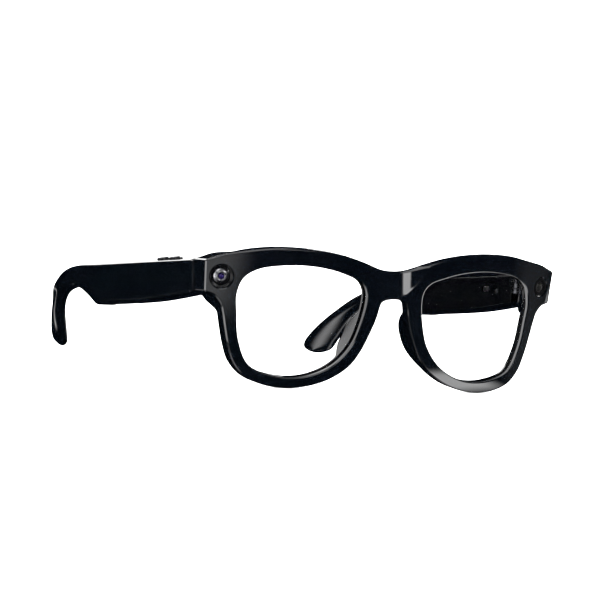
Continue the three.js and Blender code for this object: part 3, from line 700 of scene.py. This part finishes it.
def front_blank():
    """The front before its seats are cut: rings from the opening's front edge over the
    face, round the rim, over the rear and back along the lens groove."""
    inner, outer, inner_out, outer_in, on_middle = front_half()
    opening_edge = soft_chamfer(OPENING_BEVEL, 0.2)[::-1]
    rim_edge = soft_chamfer(EDGE_BEVEL, 0.22)
    open_edge = np.where(on_middle, 0, 1)
    near = inner + inner_out * opening_edge[-1][0]
    far = outer + outer_in * rim_edge[0][0]
    share = crease_share(near, far)[:, None]
    crease = near + (far - near) * share
    length = norm(far - near, axis=1, keepdims=True)
    rings = [placed(inner + inner_out * inset, depth, True) for inset, depth in opening_edge]
    rings += [placed(spot, 0, True) for spot in between(near, crease, 14)]
    for gap in (-CREASE_GAP, 0, CREASE_GAP):
        t = np.clip(share + gap / length * (share < 1), 0, 1)
        rings.append(placed(near + (far - near) * t, 0, True))
    rings += [placed(spot, 0, True) for spot in between(crease, far, 12)]
    rings += [placed(outer + outer_in * inset, depth * open_edge, True)
              for inset, depth in rim_edge]
    rear_edge = [on_rear(outer + outer_in * inset, drop * open_edge)
                 for inset, drop in rim_edge[::-1]]
    rings += between(rings[-1], rear_edge[0], 6) + rear_edge
    rings += [on_rear(spot) for spot in between(near, far, 26)[::-1]]
    rings += [on_rear(inner + inner_out * inset, drop) for inset, drop in opening_edge[::-1]]
    groove = inner + inner_out * GROOVE_DEEP
    rings += [placed(inner, GROOVE_REAR + GROOVE_EASE), placed(groove, GROOVE_REAR),
              placed(groove, GROOVE_FRONT), placed(inner, GROOVE_FRONT - GROOVE_EASE)]
    half, quads = skin(np.stack(rings, axis=1), onward=True)
    quads = [q for q in quads if not all(abs(half[i][0]) < 1e-6 for i in q)]
    other = [[i + len(half) for i in reversed(q)] for q in quads]
    return raw_object("front_moulding", np.vstack([half, half * MIRROR]), quads + other)


def seat(mouth, mouth_depth, bore, bore_depth):
    """The stepped hole for a turned insert, with an eased lip at the face."""
    lip, beyond = 0.32, 3
    return moved(lathe("seat", [
        (0, -beyond), (mouth + lip + beyond, -beyond), (mouth + lip, 0), (mouth, lip),
        (mouth, mouth_depth), (bore, mouth_depth), (bore, bore_depth), (0, bore_depth),
    ]), onto_end_piece)


def mirrored(thing):
    moved(thing, lambda points: points * MIRROR)
    thing.data.flip_normals()
    return thing


# Radius and depth of each seat's mouth, then of its bore.
CAMERA_SEAT, LAMP_SEAT = (4.45, 1.6, 3.45, 5.6), (3.5, 1.4, 2.0, 4.6)
HINGE_SCREWS = (-4.0, 2.0)
HINGE_SCREW_X = 72.2


def plain_box(xs, ys, zs, radius=0.0):
    return tool(box_outline(xs, ys, radius), *zs, 0, along_z)


TONGUE_X, TONGUE_TOP, TONGUE_LEAN, TONGUE_BOTTOM, JOINT_GAP = 74.1, 4.2, 0.21, -6.5, 0.3


def tongue_edge(z):
    """Front edge of the temple's tongue at height z."""
    return TEMPLE_FRONT - TONGUE_LEAN * (TONGUE_TOP - z)


def temple_tongue():
    """The temple's front end, which covers the hinge from outside."""
    root = TEMPLE_FRONT + 0.5
    outline = [(tongue_edge(TONGUE_TOP), TONGUE_TOP), (root, TONGUE_TOP),
               (root, TONGUE_BOTTOM - 0.7), (tongue_edge(TONGUE_BOTTOM), TONGUE_BOTTOM)]
    return tool(outline, TONGUE_X, TEMPLE_OUTER, 0.14, across_x)


def tongue_step():
    """The step in the end piece that the tongue lies in."""
    low, high, back = -12.0, 6.0, HINGE_FACE + 1
    outline = [(tongue_edge(high) - JOINT_GAP, high), (back, high), (back, low),
               (tongue_edge(low) - JOINT_GAP, low)]
    return tool(outline, TONGUE_X - JOINT_GAP, TONGUE_X + 2, 0, across_x)


def front_moulding():
    tools = [mirrored(seat(*CAMERA_SEAT)), seat(*LAMP_SEAT)]
    tools += [tongue_step(), mirrored(tongue_step())]
    for side in (-1, 1):
        recess = plain_box((66, 73.6), (20.6, HINGE_FACE + 2), (-5.5, 3.5), 0.5)
        tools.append(mirrored(recess) if side < 0 else recess)
        for z in HINGE_SCREWS:
            spot = circle(0.75, 24, (side * HINGE_SCREW_X, z))
            tools.append(tool(spot, 17.5, HINGE_FACE, 0, along_y))
        spot = circle(CONTACT_RADIUS + FIT, 40, (side * CONTACT_X, 0))
        tools.append(tool(spot, RIM_DEPTH - 1, RIM_DEPTH + 1, 0, along_y))
    return carve(front_blank(), *tools)


piece(front_moulding(), 1, "front", gloss_black, "front_frame")


def lens_blank(name):
    """A lens as rings from the middle of its front over its rim to that of its rear."""
    steps, ease, centre = 240, 0.18, np.array([37.0, -14.5])
    edge, out = opening_edge_at(np.arange(steps) / steps * len(OPENING))
    rim = edge + out * (LENS_REACH - OPENING_INSET)
    shares = [0, 0.12, 0.25, 0.4, 0.55, 0.7, 0.82, 0.91, 0.97, 1 - ease / 30]
    discs = [centre + (rim - centre) * t for t in shares]
    rings = [placed(disc, LENS_FRONT) for disc in discs]
    rings += [placed(rim, LENS_FRONT + ease), placed(rim, LENS_REAR - ease)]
    rings += [placed(disc, LENS_REAR) for disc in reversed(discs)]
    return raw_object(name, *skin(np.stack(rings, axis=1), around=False, onward=True))


for side, tag in SIDES:
    piece(lens_blank(f"lens_blank_{tag}"), side, "front", clear_lens, f"lens_{tag}")


# ---------- camera and indicator light ----------
# Each turned insert: its name, side, material, node, corner ease and profile, as radius
# and depth below the face.
INSERTS = [
    ("camera_ring", -1, deep_black, "camera_bezel", 0.08, [
        (3.35, 0.7), (3.5, 0.55), (3.85, 0.5), (4.0, 0.22), (4.3, 0.16), (4.3, 1.45),
        (3.35, 1.45)]),
    ("camera_cone", -1, barrel_metal, "camera_barrel", 0.1, [
        (0, 1.9), (1.12, 1.9), (1.16, 0.5), (1.3, 0.38), (1.6, 0.28), (1.8, 0.3), (1.9, 0.42),
        (2.35, 0.56), (2.5, 0.74), (2.9, 0.98), (3.1, 1.2), (3.1, 4.4), (0, 4.4)]),
    ("camera_eye", -1, camera_coating, "camera_glass", 0.05, [
        (0, 0.6), (0.3, 0.64), (0.6, 0.76), (0.85, 0.92), (1.05, 1.1), (1.05, 1.7), (0, 1.7)]),
    ("indicator_ring", 1, well_black, "indicator_bezel", 0.08, [
        (1.9, 0.5), (2.2, 0.24), (2.6, 0.2), (3.35, 0.2), (3.35, 1.25), (1.9, 1.25)]),
    ("indicator_window", 1, light_pipe, "indicator_light_pipe", 0.1, [
        (0, 0.38), (0.8, 0.4), (1.4, 0.5), (1.7, 0.75), (1.7, 3.3), (0, 3.3)]),
]
for name, side, material, node, ease, profile in INSERTS:
    insert = moved(lathe(name, profile, 96, ease), onto_end_piece)
    piece(insert, side, "front", material, node, smooth=40)

for side, tag in SIDES:
    pad = lathe("contact_pad_" + tag, [
        (0, 4.3), (CONTACT_RADIUS, 4.3), (CONTACT_RADIUS, 5.2), (0.8, 5.3), (0.35, 5.3),
        (0.25, 5.24), (0, 5.24)], 48, 0.06)
    moved(pad, lambda points: points + np.array([CONTACT_X, 0, 0]))
    piece(pad, side, "front", gold, f"charge_contact_{tag}")


# ---------- temples ----------
BEND_START, BEND_END, BEND_SLOPE = 64.5, 90.0, 0.382
TIP_HALF, TIP_CROWN, THINNING = 1.5, 0.45, (60, 100)
INNER_RISE, RISE_SPAN = 1.9, (80.0, 122.0)


def top_line(y):
    return TEMPLE_TOP - TEMPLE_SLOPE * (y - TEMPLE_FRONT)


def tip_reach(spot):
    """How far towards the tip a side-view point (y, z) lies."""
    return 0.46 * spot[:, 0] - 0.888 * spot[:, 1]


def inward(reach):
    """How far the tip has bent towards the head."""
    bent = np.clip(reach, BEND_START, BEND_END) - BEND_START
    straight = np.maximum(0, reach - BEND_END)
    return BEND_SLOPE * (bent**2 / (2 * (BEND_END - BEND_START)) + straight)


def half_thickness(reach):
    return TIP_HALF + (TEMPLE_THICK / 2 - TIP_HALF) * (1 - rise(*THINNING, reach))


def top_lift(x, y):
    """How much higher than its outer edge the temple's top face stands."""
    share = np.clip((TEMPLE_OUTER - x) / TEMPLE_THICK, 0, 1)
    return INNER_RISE * share * (1 - rise(*RISE_SPAN, y))


def edge_height(knots, y):
    """Height at y of a temple edge that runs through the knots."""
    return np.interp(y, *Spline(knots)(np.linspace(0, len(knots) - 1, 600)).T)


def tilt_top(points):
    """Lifts the inner edge of the temple's top face."""
    below = edge_height(UPPER_TEMPLE, points[:, 1]) - points[:, 2]
    lift = top_lift(points[:, 0], points[:, 1]) * (1 - rise(1.3, 3.5, below))
    return points + stack(0, 0, lift)


def temple_place(spot, sign, recess):
    """A side-view point (y, z) on one face of the temple, `recess` below that face."""
    reach = tip_reach(spot)
    x = TEMPLE_MID - inward(reach) + sign * (half_thickness(reach) - recess)
    return stack(x, spot[:, 0], spot[:, 1])


TIP_MIDDLE = (153.3, -50.4)
TIP_UPPER = [(160.2, -49.0), (157.0, -50.2), TIP_MIDDLE]
TIP_LOWER = [(145.0, -47.6), (149.6, -49.8), TIP_MIDDLE]


def temple_path(front, knots, tip):
    """One edge of the temple from the middle of its front end to the tip's end."""
    middle = np.array([TEMPLE_FRONT, (UPPER_TEMPLE[0][1] + LOWER_TEMPLE[0][1]) / 2])
    curve = Spline(knots + tip)
    lead = np.linspace(middle, front, 120)
    run = curve.run(0, len(knots) + len(tip) - 1, 1600)
    path = np.vstack([lead[:-1], run])
    return rounded_corner(path, len(lead) - 1, 0.75)


def edge_run(path, knots):
    """Distance along a temple edge of its start, of each knot and of its end."""
    way = path_length(path)
    nearest = [np.argmin(norm(path - np.array(knot), axis=1)) for knot in knots]
    return way, [0.0, *(way[i] for i in nearest), way[-1]]


BELLY_START, BELLY_FULL, TIP_START, TIP_FULL = 7.45, 10.45, 86, 100


def temple_blank(name):
    """The temple before it is tilted and cut. The upper and lower edges get matching
    stations, and each ring runs once round the section at all of them."""
    runs, on_edges = [], []
    for knots, tip in ((UPPER_TEMPLE, TIP_UPPER), (LOWER_TEMPLE, TIP_LOWER)):
        path = temple_path(knots[0], knots, tip)
        way, marks = edge_run(path, knots)
        runs.append((path, way, marks))
        shares = np.arange(len(marks))
        on_edges.append(np.interp(stations(path, 0.9, 5), marks, shares))
    share = np.unique(np.round(np.concatenate(on_edges), 3))
    share = share[np.concatenate([[True], np.diff(share) > 0.012])]
    share[-1] = shares[-1]
    edges = []
    for (path, way, marks), turn in zip(runs, (-1, 1)):
        values = np.interp(share, shares, marks)
        edges += [along(path, way, values), turned(headings(path, way, values)) * turn]
    up, up_in, down, down_in = edges
    up_in[0] = down_in[0] = (1, 0)
    up_in[-1] = down_in[-1] = (0, 1)
    up[-1] = down[-1] = TIP_MIDDLE
    # The outer edges are crisp and ease out on the tip. The belly has a wide bevel.
    small, fine, wide = soft_chamfer(0.7, 0.22), soft_chamfer(0.28, 0.1), soft_chamfer(1.3, 0.22)
    on_tip = rise(TIP_START, TIP_FULL, tip_reach(up))
    belly = rise(BELLY_START, BELLY_FULL, values) * (1 - rise(marks[-2] + 1, marks[-1], values))
    tip_share, belly = on_tip[:, None, None], belly[:, None, None]
    outer_up = fine * (1 - tip_share) + small * tip_share
    outer_low = outer_up * (1 - belly) + wide * belly
    inner = np.broadcast_to(small, outer_up.shape)
    crown = TIP_CROWN * on_tip
    rings = []

    def edge(spot, normal, pairs, sign):
        for inset, recess in pairs.transpose(1, 2, 0):
            sunk = recess + crown * (recess < 1.2)
            rings.append(temple_place(spot + normal * inset[:, None], sign, sunk))

    def wall(end):
        rings.extend(between(rings[-1], end, 5))

    def across(first, last, sign):
        for t in np.linspace(0, 1, 16)[1:-1]:
            rings.append(temple_place(first + (last - first) * t, sign, crown * (2 * t - 1) ** 2))

    across(up + up_in * outer_up[:, 0, :1], down + down_in * outer_low[:, 0, :1], 1)
    edge(down, down_in, outer_low, 1)
    wall(temple_place(down, -1, small[-1][1] + crown))
    edge(down, down_in, inner[:, ::-1], -1)
    across(down + down_in * small[0][0], up + up_in * small[0][0], -1)
    edge(up, up_in, inner, -1)
    wall(temple_place(up, 1, outer_up[:, -1, 1] + crown))
    edge(up, up_in, outer_up[:, ::-1], 1)
    return raw_object(name, *skin(np.stack(rings, axis=1)))


def hollow_outline(y0, y1, inset):
    """Side outline of the hollow, set in from the temple's edges."""
    ys = np.linspace(y0, y1, 60)
    bottom = pair(ys, edge_height(LOWER_TEMPLE, ys) + inset)
    return np.vstack([bottom, [(y1, top_line(y1) - inset), (y0, top_line(y0) - inset)]])


def top_sloped(u, v, depth):
    return stack(u, v, depth + top_line(v))


def top_following(u, v, depth):
    return stack(u, v, depth + top_line(v) + top_lift(u, v) * rise(-1, 0.2, depth))


def bottom_sloped(u, v, depth):
    return stack(u, v, depth + GRILLE_Z - GRILLE_SLOPE * (v - GRILLE_Y[0]))


def pill_outline(length, width, y):
    """A round-ended outline on the temple's middle line."""
    radius, straight = width / 2, (length - width) / 2
    angle = np.linspace(0, pi, 16)
    bow = pair(radius * np.cos(angle), straight + radius * np.sin(angle))
    return np.vstack([bow, -bow]) + (TEMPLE_MID, y)


def cross_rod(radius, x0, x1, y, z):
    return tool(circle(radius, 48, (y, z)), x0, x1, 0, across_x)


BUTTON_LENGTH, BUTTON_WIDTH = 6.0, 2.4
BUTTONS = {"capture": 43.4, "option": 52.2}
PORTS = (38.2, 47.8)
COVER_SCREWS = [(y, top_line(y) - below) for y, below in ((39.0, 7.5), (97.5, 6.0))]
GRILLE_X, GRILLE_Y, GRILLE_Z, GRILLE_SLOPE = (69.6, 72.4), (78.0, 88.0), -21.65, 0.192
SWITCH_Y, SWITCH_BELOW = (44.4, 49.6), (-7.4, -5.4)


def temple_shell(name, with_buttons):
    outline = hollow_outline(23.2, COVER_END, WALL)
    tools = [
        tool(outline, COVER_INNER - 3, CAVITY_OUTER, 0, across_x),
        plain_box((COVER_INNER - 1, 68.3), (TEMPLE_FRONT - 1, 23.4), (-4.9, 3.3)),
        tool(box_outline(GRILLE_X, GRILLE_Y, 0.4), -1, WALL + 1, 0, bottom_sloped),
    ]
    if with_buttons:
        for y in BUTTONS.values():
            pill = pill_outline(BUTTON_LENGTH + 2 * FIT, BUTTON_WIDTH + 2 * FIT, y)
            tools.append(tool(pill, -3, 4, 0, top_sloped))
        for y in PORTS:
            port = circle(0.7, 32, (TEMPLE_MID, y))
            tools.append(tool(port, -3, 4, 0, top_sloped))
    return carve(join(moved(temple_blank(name), tilt_top), temple_tongue()), *tools)


def switch_place(y, below, depth):
    return stack(depth, y, below + top_line(y))


def temple_cover(name, with_switch):
    outline = hollow_outline(COVER_START, COVER_END - FIT, WALL + FIT)
    panel = slab(name, outline, COVER_INNER, CAVITY_INNER - 0.05, 0.22, across_x)
    tools = []
    for y, z in COVER_SCREWS:
        tools.append(cross_rod(0.65, COVER_INNER - 1, CAVITY_INNER + 1, y, z))
        tools.append(cross_rod(1.15, COVER_INNER - 1, COVER_INNER + 0.6, y, z))
    if with_switch:
        window = box_outline(SWITCH_Y, SWITCH_BELOW, 0.35)
        tools.append(tool(window, COVER_INNER - 1, CAVITY_INNER + 1, 0, switch_place))
    return carve(panel, *tools)


def screw(name, radius, thick, place, shank):
    """A pan head with a six-lobed drive on a shank. `place` turns x, depth and z of the
    head, whose top is at depth 0, into drawing points."""
    profile = [(0, 0), (radius * 0.7, 0), (radius, 0.16), (radius, thick), (0, thick)]
    head = lathe(name, profile, 64, 0.05)
    angle = full_turn(48)
    lobe = radius * (0.42 + 0.07 * np.cos(6 * angle))
    drive = pair(lobe * np.cos(angle), lobe * np.sin(angle))
    carve(head, tool(drive, -0.5, 0.3, 0, along_y))
    return join(moved(head, lambda points: stack(*place(*points.T))), shank)


for side, tag in SIDES:
    body = f"temple_{tag}"
    shell = temple_shell(f"temple_moulding_{tag}", side < 0)
    piece(shell, side, body, gloss_black, f"temple_shell_{tag}")
    panel = temple_cover(f"cover_panel_{tag}", side > 0)
    piece(panel, side, body, deep_black, f"temple_cover_{tag}")
    for number, (y, z) in enumerate(COVER_SCREWS, 1):
        shank = cross_rod(0.5, COVER_INNER + 0.5, 72.2, y, z)
        made = screw(f"cover_screw_head_{number}_{tag}", 1.0, 0.5,
                     lambda u, depth, v: (COVER_INNER + 0.05 + depth, y + u, z + v), shank)
        piece(made, side, body, dark_metal, f"cover_screw_{number}_{tag}")


# ---------- hinges ----------
UPPER_KNUCKLE, MIDDLE_KNUCKLE, LOWER_KNUCKLE = (0.4, 1.9), (-2.3, 0.25), (-4.4, -2.45)
KNUCKLE_RADIUS, PIN_RADIUS = 1.5, 0.6


def hinge_rod(radius, zs, edge=0.1):
    return tool(circle(radius, 64, (PIVOT_X, PIVOT_Y)), *zs, edge, along_z)


def front_leaf(name):
    plate = slab(name, box_outline((66.1, 73.5), (-5.4, 3.4), 0.6), 20.65, 21.4, 0.12, along_y)
    joins = []
    for zs in (UPPER_KNUCKLE, LOWER_KNUCKLE):
        joins.append(plain_box((66.15, PIVOT_X + KNUCKLE_RADIUS), (20.7, PIVOT_Y), zs))
        joins.append(hinge_rod(KNUCKLE_RADIUS, zs))
    join(plate, *joins)
    cuts = [hinge_rod(PIN_RADIUS + FIT, (-6, 4), 0)]
    for z in HINGE_SCREWS:
        cuts.append(tool(circle(0.75, 32, (HINGE_SCREW_X, z)), 19, 22, 0, along_y))
    return carve(plate, *cuts)


def temple_leaf(name):
    plate = slab(name, box_outline((25.6, 35), (-5, 0.3), 0.6), 68.5, 69.4, 0.12, across_x)
    joins = [
        hinge_rod(KNUCKLE_RADIUS, MIDDLE_KNUCKLE),
        plain_box((PIVOT_X - 0.3, 68.2), (PIVOT_Y, 27), MIDDLE_KNUCKLE, 0.25),
        plain_box((67, 69.4), (25.6, 27.4), MIDDLE_KNUCKLE, 0.25),
    ]
    join(plate, *joins)
    return carve(plate, hinge_rod(PIN_RADIUS + FIT, (-6, 4), 0))


def hinge_pin(name):
    head = lathe(name, [(0, 0), (0.75, 0), (1.1, 0.2), (1.1, 0.5), (0, 0.5)], 64, 0.05)
    carve(head, tool(box_outline((-1.5, 1.5), (-0.13, 0.13)), -0.5, 0.22, 0, along_y))
    moved(head, lambda p: stack(PIVOT_X + p[:, 0], PIVOT_Y + p[:, 2], 2.45 - p[:, 1]))
    shank = tool(circle(PIN_RADIUS, 48, (PIVOT_X, PIVOT_Y)), -4.4, 2.1, 0.08, along_z)
    return join(head, shank)


for side, tag in SIDES:
    piece(front_leaf(f"front_leaf_{tag}"), side, "front", steel, f"hinge_front_leaf_{tag}")
    piece(temple_leaf(f"temple_leaf_{tag}"), side, f"temple_{tag}", steel,
          f"hinge_temple_leaf_{tag}")
    pin_body = nodes[f"hinge_pin_{tag}"]["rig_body"]
    piece(hinge_pin(f"pin_{tag}"), side, pin_body, dark_metal, f"hinge_pin_{tag}")
    for number, z in enumerate(HINGE_SCREWS, 1):
        shank = tool(circle(0.6, 32, (HINGE_SCREW_X, z)), 18, 21.5, 0.05, along_y)
        made = screw(f"hinge_screw_head_{number}_{tag}", 1.1, 0.27,
                     lambda u, depth, v: (HINGE_SCREW_X + u, 21.7 - depth, z + v), shank)
        piece(made, side, "front", dark_metal, f"hinge_screw_{number}_{tag}")


# ---------- controls, ports and grilles ----------
def press_button(name, y):
    cap = slab(name, pill_outline(BUTTON_LENGTH, BUTTON_WIDTH, y), -1.9, 0.8, 0.3, top_following)
    wider = pill_outline(BUTTON_LENGTH + 1, BUTTON_WIDTH + 1, y)
    return join(cap, tool(wider, -2.1, -1.6, 0.1, top_sloped))


for name, y in BUTTONS.items():
    piece(press_button(f"{name}_key", y), -1, f"{name}_button", satin_black,
          f"{name}_button")
for number, y in enumerate(PORTS, 1):
    cap = slab(f"port_mesh_{number}", circle(0.5, 32, (TEMPLE_MID, y)), -1.3, 0.5, 0.12,
               top_following)
    piece(cap, -1, "temple_right", satin_black, f"mic_port_{number}")


def fitted(span):
    return span[0] + FIT, span[1] - FIT


def grille_insert(name):
    outline = box_outline(fitted(GRILLE_X), fitted(GRILLE_Y), 0.35)
    insert = slab(name, outline, 0.15, 1.1, 0.1, bottom_sloped)
    tools = []
    for row in range(3):
        for step in range(9):
            spot = (70.3 + 0.7 * row, GRILLE_Y[0] + 0.75 + step + 0.5 * (row % 2))
            tools.append(tool(circle(0.24, 20, spot), -1, 3, 0, bottom_sloped))
    return carve(insert, *tools)


for side, tag in SIDES:
    piece(grille_insert(f"grille_{tag}"), side, f"temple_{tag}", dark_metal,
          f"speaker_grille_{tag}")


def power_knob(name):
    (y0, y1), (z0, z1) = SWITCH_Y, SWITCH_BELOW
    knob = slab(name, box_outline((y0 + FIT, y0 + 3.2), (z0 + FIT, z1 - FIT), 0.3),
                COVER_INNER - 0.5, CAVITY_INNER + 0.3, 0.15, switch_place)
    foot = tool(box_outline((y0 - 0.9, y0 + 4.4), (z0 - 0.8, z1 + 0.8), 0.3),
                CAVITY_INNER + 0.1, CAVITY_INNER + 0.5, 0.05, switch_place)
    join(knob, foot)
    ribs = []
    for step in range(4):
        y = y0 + 0.8 + 0.5 * step
        ribs.append(tool(box_outline((y, y + 0.22), (z0 - 1, z1 + 1)),
                         COVER_INNER - 1, COVER_INNER - 0.3, 0, switch_place))
    return carve(knob, *ribs)


piece(power_knob("power_slider"), 1, "power_switch", satin_black, "power_switch")

# ---------- CAD pieces that stay ----------
KEPT = {
    "camera_board": board, "indicator_board": board, "main_board": board, "button_board": board,
    "touch_flex": flex, "battery": foil, "speaker_right": satin_black, "speaker_left": satin_black,
    "tip_core_wire_right": steel, "tip_core_wire_left": steel,
}
for name, material in KEPT.items():
    node = nodes[name]
    for place in node.material_slots:
        place.material = material

# ---------- floor, backdrop and light ----------
lowest = cad_box[0][2]


def stage_sheet(name, points, faces, material):
    thing = mesh_object(name, points, faces)
    thing.data.materials.append(material)
    return thing


def glow(name, strength):
    """A white surface with a light of its own and no gloss."""
    n = Nodes(name)
    n.set(Base_Color=(1, 1, 1, 1), Roughness=0.9, Emission_Color=(1, 1, 1, 1),
          Emission_Strength=strength, Specular_IOR_Level=0.0)
    n.material.cycles.emission_sampling = "NONE"
    return n


def floor_material():
    """Pale floor: bright far off, a little less so near the middle to keep the shadow. The dimmer
    glow near the middle is painted shade round the glasses. It isn't seen from below."""
    n = glow("floor", 0.8)
    far = n.add("VectorMath", n.place, operation="LENGTH")
    # Painted shade: the floor's own glow is dimmed near the middle, where the glasses stand.
    n.feed(Emission_Strength=n.span(far.outputs["Value"], 0.80, 1.0, 0.3, 1.2))
    n.set(Base_Color=(0.5, 0.5, 0.5, 1))
    below = n.add("NewGeometry").outputs["Backfacing"]
    clear_back = n.add("BsdfTransparent").outputs["BSDF"]
    pick = n.add("MixShader", below, n.shader.outputs["BSDF"], clear_back)
    n.link(pick.outputs["Shader"], n.tree.nodes["Material Output"].inputs["Surface"])
    return n.material


STAGE_REACH, FLOOR_DROP, FLOOR_SIDES = 6.0, 2e-4, 96
rim = [(x, y, lowest - FLOOR_DROP) for x, y in circle(STAGE_REACH, FLOOR_SIDES)]
wedges = [[0, i + 1, (i + 1) % FLOOR_SIDES + 1] for i in range(FLOOR_SIDES)]
floor = stage_sheet("floor", [(0, 0, lowest - FLOOR_DROP)] + rim, wedges, floor_material())
floor.visible_glossy = False

# A white hall round everything, seen by the camera and by soft light only.
tilt, turn = np.linspace(-pi / 2, pi / 2, 25)[:, None], full_turn(48)
hall_points, hall_faces = skin(STAGE_REACH * stack(
    np.cos(tilt) * np.cos(turn), np.cos(tilt) * np.sin(turn), np.sin(tilt)))
hall = stage_sheet("backdrop", hall_points, hall_faces, glow("backdrop", 1.0).material)
hall.visible_glossy = hall.visible_shadow = False

world = bpy.data.worlds.new("surround")
bpy.context.scene.world = world
world.use_nodes = True
world.node_tree.nodes["Background"].inputs["Color"].default_value = (0.003, 0.005, 0.008, 1)


def heading(azimuth, elevation):
    """Direction from the glasses. Azimuth 0 is straight in front, 90 is the wearer's
    left, both in degrees."""
    a, e = radians(azimuth), radians(elevation)
    return Vector((sin(a) * cos(e), -cos(a) * cos(e), sin(e)))


LIGHT_AIM = Vector((0, -0.03, 0.03))
LIGHT_DISTANCE = 3.0
WALL_CARD_Y, WALL_CARD_Z = -0.070, (0.006, 0.042)


def far_place(azimuth, elevation):
    """A place far off that faces the glasses."""
    direction = heading(azimuth, elevation)
    turn = direction.to_track_quat("Z", "Y").to_matrix().to_4x4()
    return Matrix.Translation(LIGHT_AIM + direction * LIGHT_DISTANCE) @ turn


def softbox(name, azimuth, elevation, power):
    """A broad lamp for the soft light and the shadow on the floor."""
    lamp = bpy.data.lights.new(name, "AREA")
    lamp.shape = "RECTANGLE"
    lamp.size, lamp.size_y = 2.4, 2.0
    lamp.energy = power
    thing = shown(name, lamp)
    thing.matrix_world = far_place(azimuth, elevation)
    thing.visible_camera = thing.visible_glossy = False


def card_material(name, radiance, soft):
    """Emission that fades towards the rim of a card whose object spans -1 to 1."""
    n = Nodes(name)
    n.tree.nodes.remove(n.shader)
    spot = n.add("SeparateXYZ", n.place)
    fades = []
    for axis, width, level in zip("XY", soft, (radiance, 1)):
        away = n.add("Math", spot.outputs[axis], operation="ABSOLUTE").outputs[0]
        fades.append(n.span(away, level, 0, 1 - width, 1))
    emission = n.add("Emission")
    n.link(n.add("Math", *fades, operation="MULTIPLY").outputs[0], emission.inputs["Strength"])
    n.link(emission.outputs[0], n.tree.nodes["Material Output"].inputs["Surface"])
    n.material.cycles.emission_sampling = "NONE"
    return n.material


def card(name, matrix, half_width, half_height, radiance, soft):
    """A reflector that only gloss sees. Its brightness fades towards its rim over
    `soft` of its half width and half height."""
    square = [(-1, -1, 0), (1, -1, 0), (1, 1, 0), (-1, 1, 0)]
    thing = stage_sheet(name, square, [[0, 1, 2, 3]], card_material(name, radiance, soft))
    thing.matrix_world = matrix @ Matrix.Diagonal((half_width, half_height, 1, 1))
    for kind in ("camera", "diffuse", "transmission", "shadow", "volume_scatter"):
        setattr(thing, f"visible_{kind}", False)


def far_card(name, azimuth, elevation, half_azimuth, half_elevation, radiance, soft=(0.4, 0.4)):
    """A card far off, its place and half sizes in degrees as seen from the glasses."""
    sizes = [LIGHT_DISTANCE * tan(radians(a)) for a in (half_azimuth, half_elevation)]
    card(name, far_place(azimuth, elevation), *sizes, radiance, soft)


def floor_card(name, x, y, half_x, half_y, radiance, soft=(0.7, 0.7)):
    """A card that lies on the floor, its middle and half sizes in metres."""
    card(name, Matrix.Translation((x, y, lowest - FLOOR_DROP / 2)), half_x, half_y, radiance, soft)


def wall_card(name, xs, radiance):
    """An upright card close behind the front, between two limits of x in metres."""
    turn = Matrix.Rotation(radians(90), 4, "X")
    (low_x, high_x), (low_z, high_z) = xs, WALL_CARD_Z
    middle = Matrix.Translation(((low_x + high_x) / 2, WALL_CARD_Y, (low_z + high_z) / 2))
    sizes = (high_x - low_x) / 2, (high_z - low_z) / 2
    card(name, middle @ turn, *sizes, radiance, (0.2, 0.4))


softbox("key", -40, 55, 90)
softbox("fill", 60, 50, 60)
softbox("rear", 180, 50, 60)

far_card("overhead", -35, 78, 24, 24, 2.6)
far_card("back_top", 180, 35, 20, 17, 6.5, (0.3, 0.25))
far_card("left_side", -76, -8, 18, 24, 6.0, (0.5, 0.5))
far_card("left_low", -78, -45, 12, 20, 2.0, (0.5, 0.5))
far_card("left_high", -48, 38, 14, 20, 5.0, (0.5, 0.5))
far_card("right_side", 100, 0, 18, 24, 2.5, (0.6, 0.6))
far_card("right_face", 68, -12, 9, 10, 0.22, (0.8, 0.8))
far_card("front_high", 8.7, 18, 8, 13, 8.0, (0.4, 0.4))
far_card("top_sheen", 155, 4.5, 7, 5, 2.2, (0.4, 0.4))
far_card("tip_glow", -131, 20, 9, 9, 3.6, (0.95, 0.95))
wall_card("rear_wall_right", (-0.062, -0.012), 2.2)
wall_card("rear_wall_left", (0.018, 0.080), 3.0)
floor_card("front_glow", -0.128, -0.265, 0.066, 0.105, 1.25, (0.7, 0.6))
floor_card("crease_glow", -0.121, 0.040, 0.007, 0.060, 3.6, (0.5, 0.3))
floor_card("tip_line", -0.062, 0.150, 0.002, 0.055, 1.3, (0.8, 0.3))
floor_card("rim_glow", 0.046, -0.095, 0.030, 0.022, 7.0)

# ---------- camera ----------
CAMERA_TARGET = Vector(to_frame((-40.494, 0.0, -6.064)))
CAMERA_DISTANCE = 2.50111
CAMERA_RIGHT = Vector((0.86957832, -0.48874378, 0.070449))
CAMERA_UP = Vector((-0.02811981, 0.09342426, 0.99522921))
CAMERA_BACK = Vector((-0.49299373, -0.86741076, 0.06749633))


lens = bpy.data.cameras.new("camera")
lens.sensor_width, lens.lens = 36, 407.505
lens.clip_start, lens.clip_end = 0.1, 50
camera = shown("camera", lens)
camera_turn = Matrix([CAMERA_RIGHT, CAMERA_UP, CAMERA_BACK]).transposed().to_4x4()
camera_spot = CAMERA_TARGET + CAMERA_BACK * CAMERA_DISTANCE
camera.matrix_world = Matrix.Translation(camera_spot) @ camera_turn
scene = bpy.context.scene
scene.camera = camera
scene.view_settings.view_transform = "Standard"
scene.view_settings.look = "None"
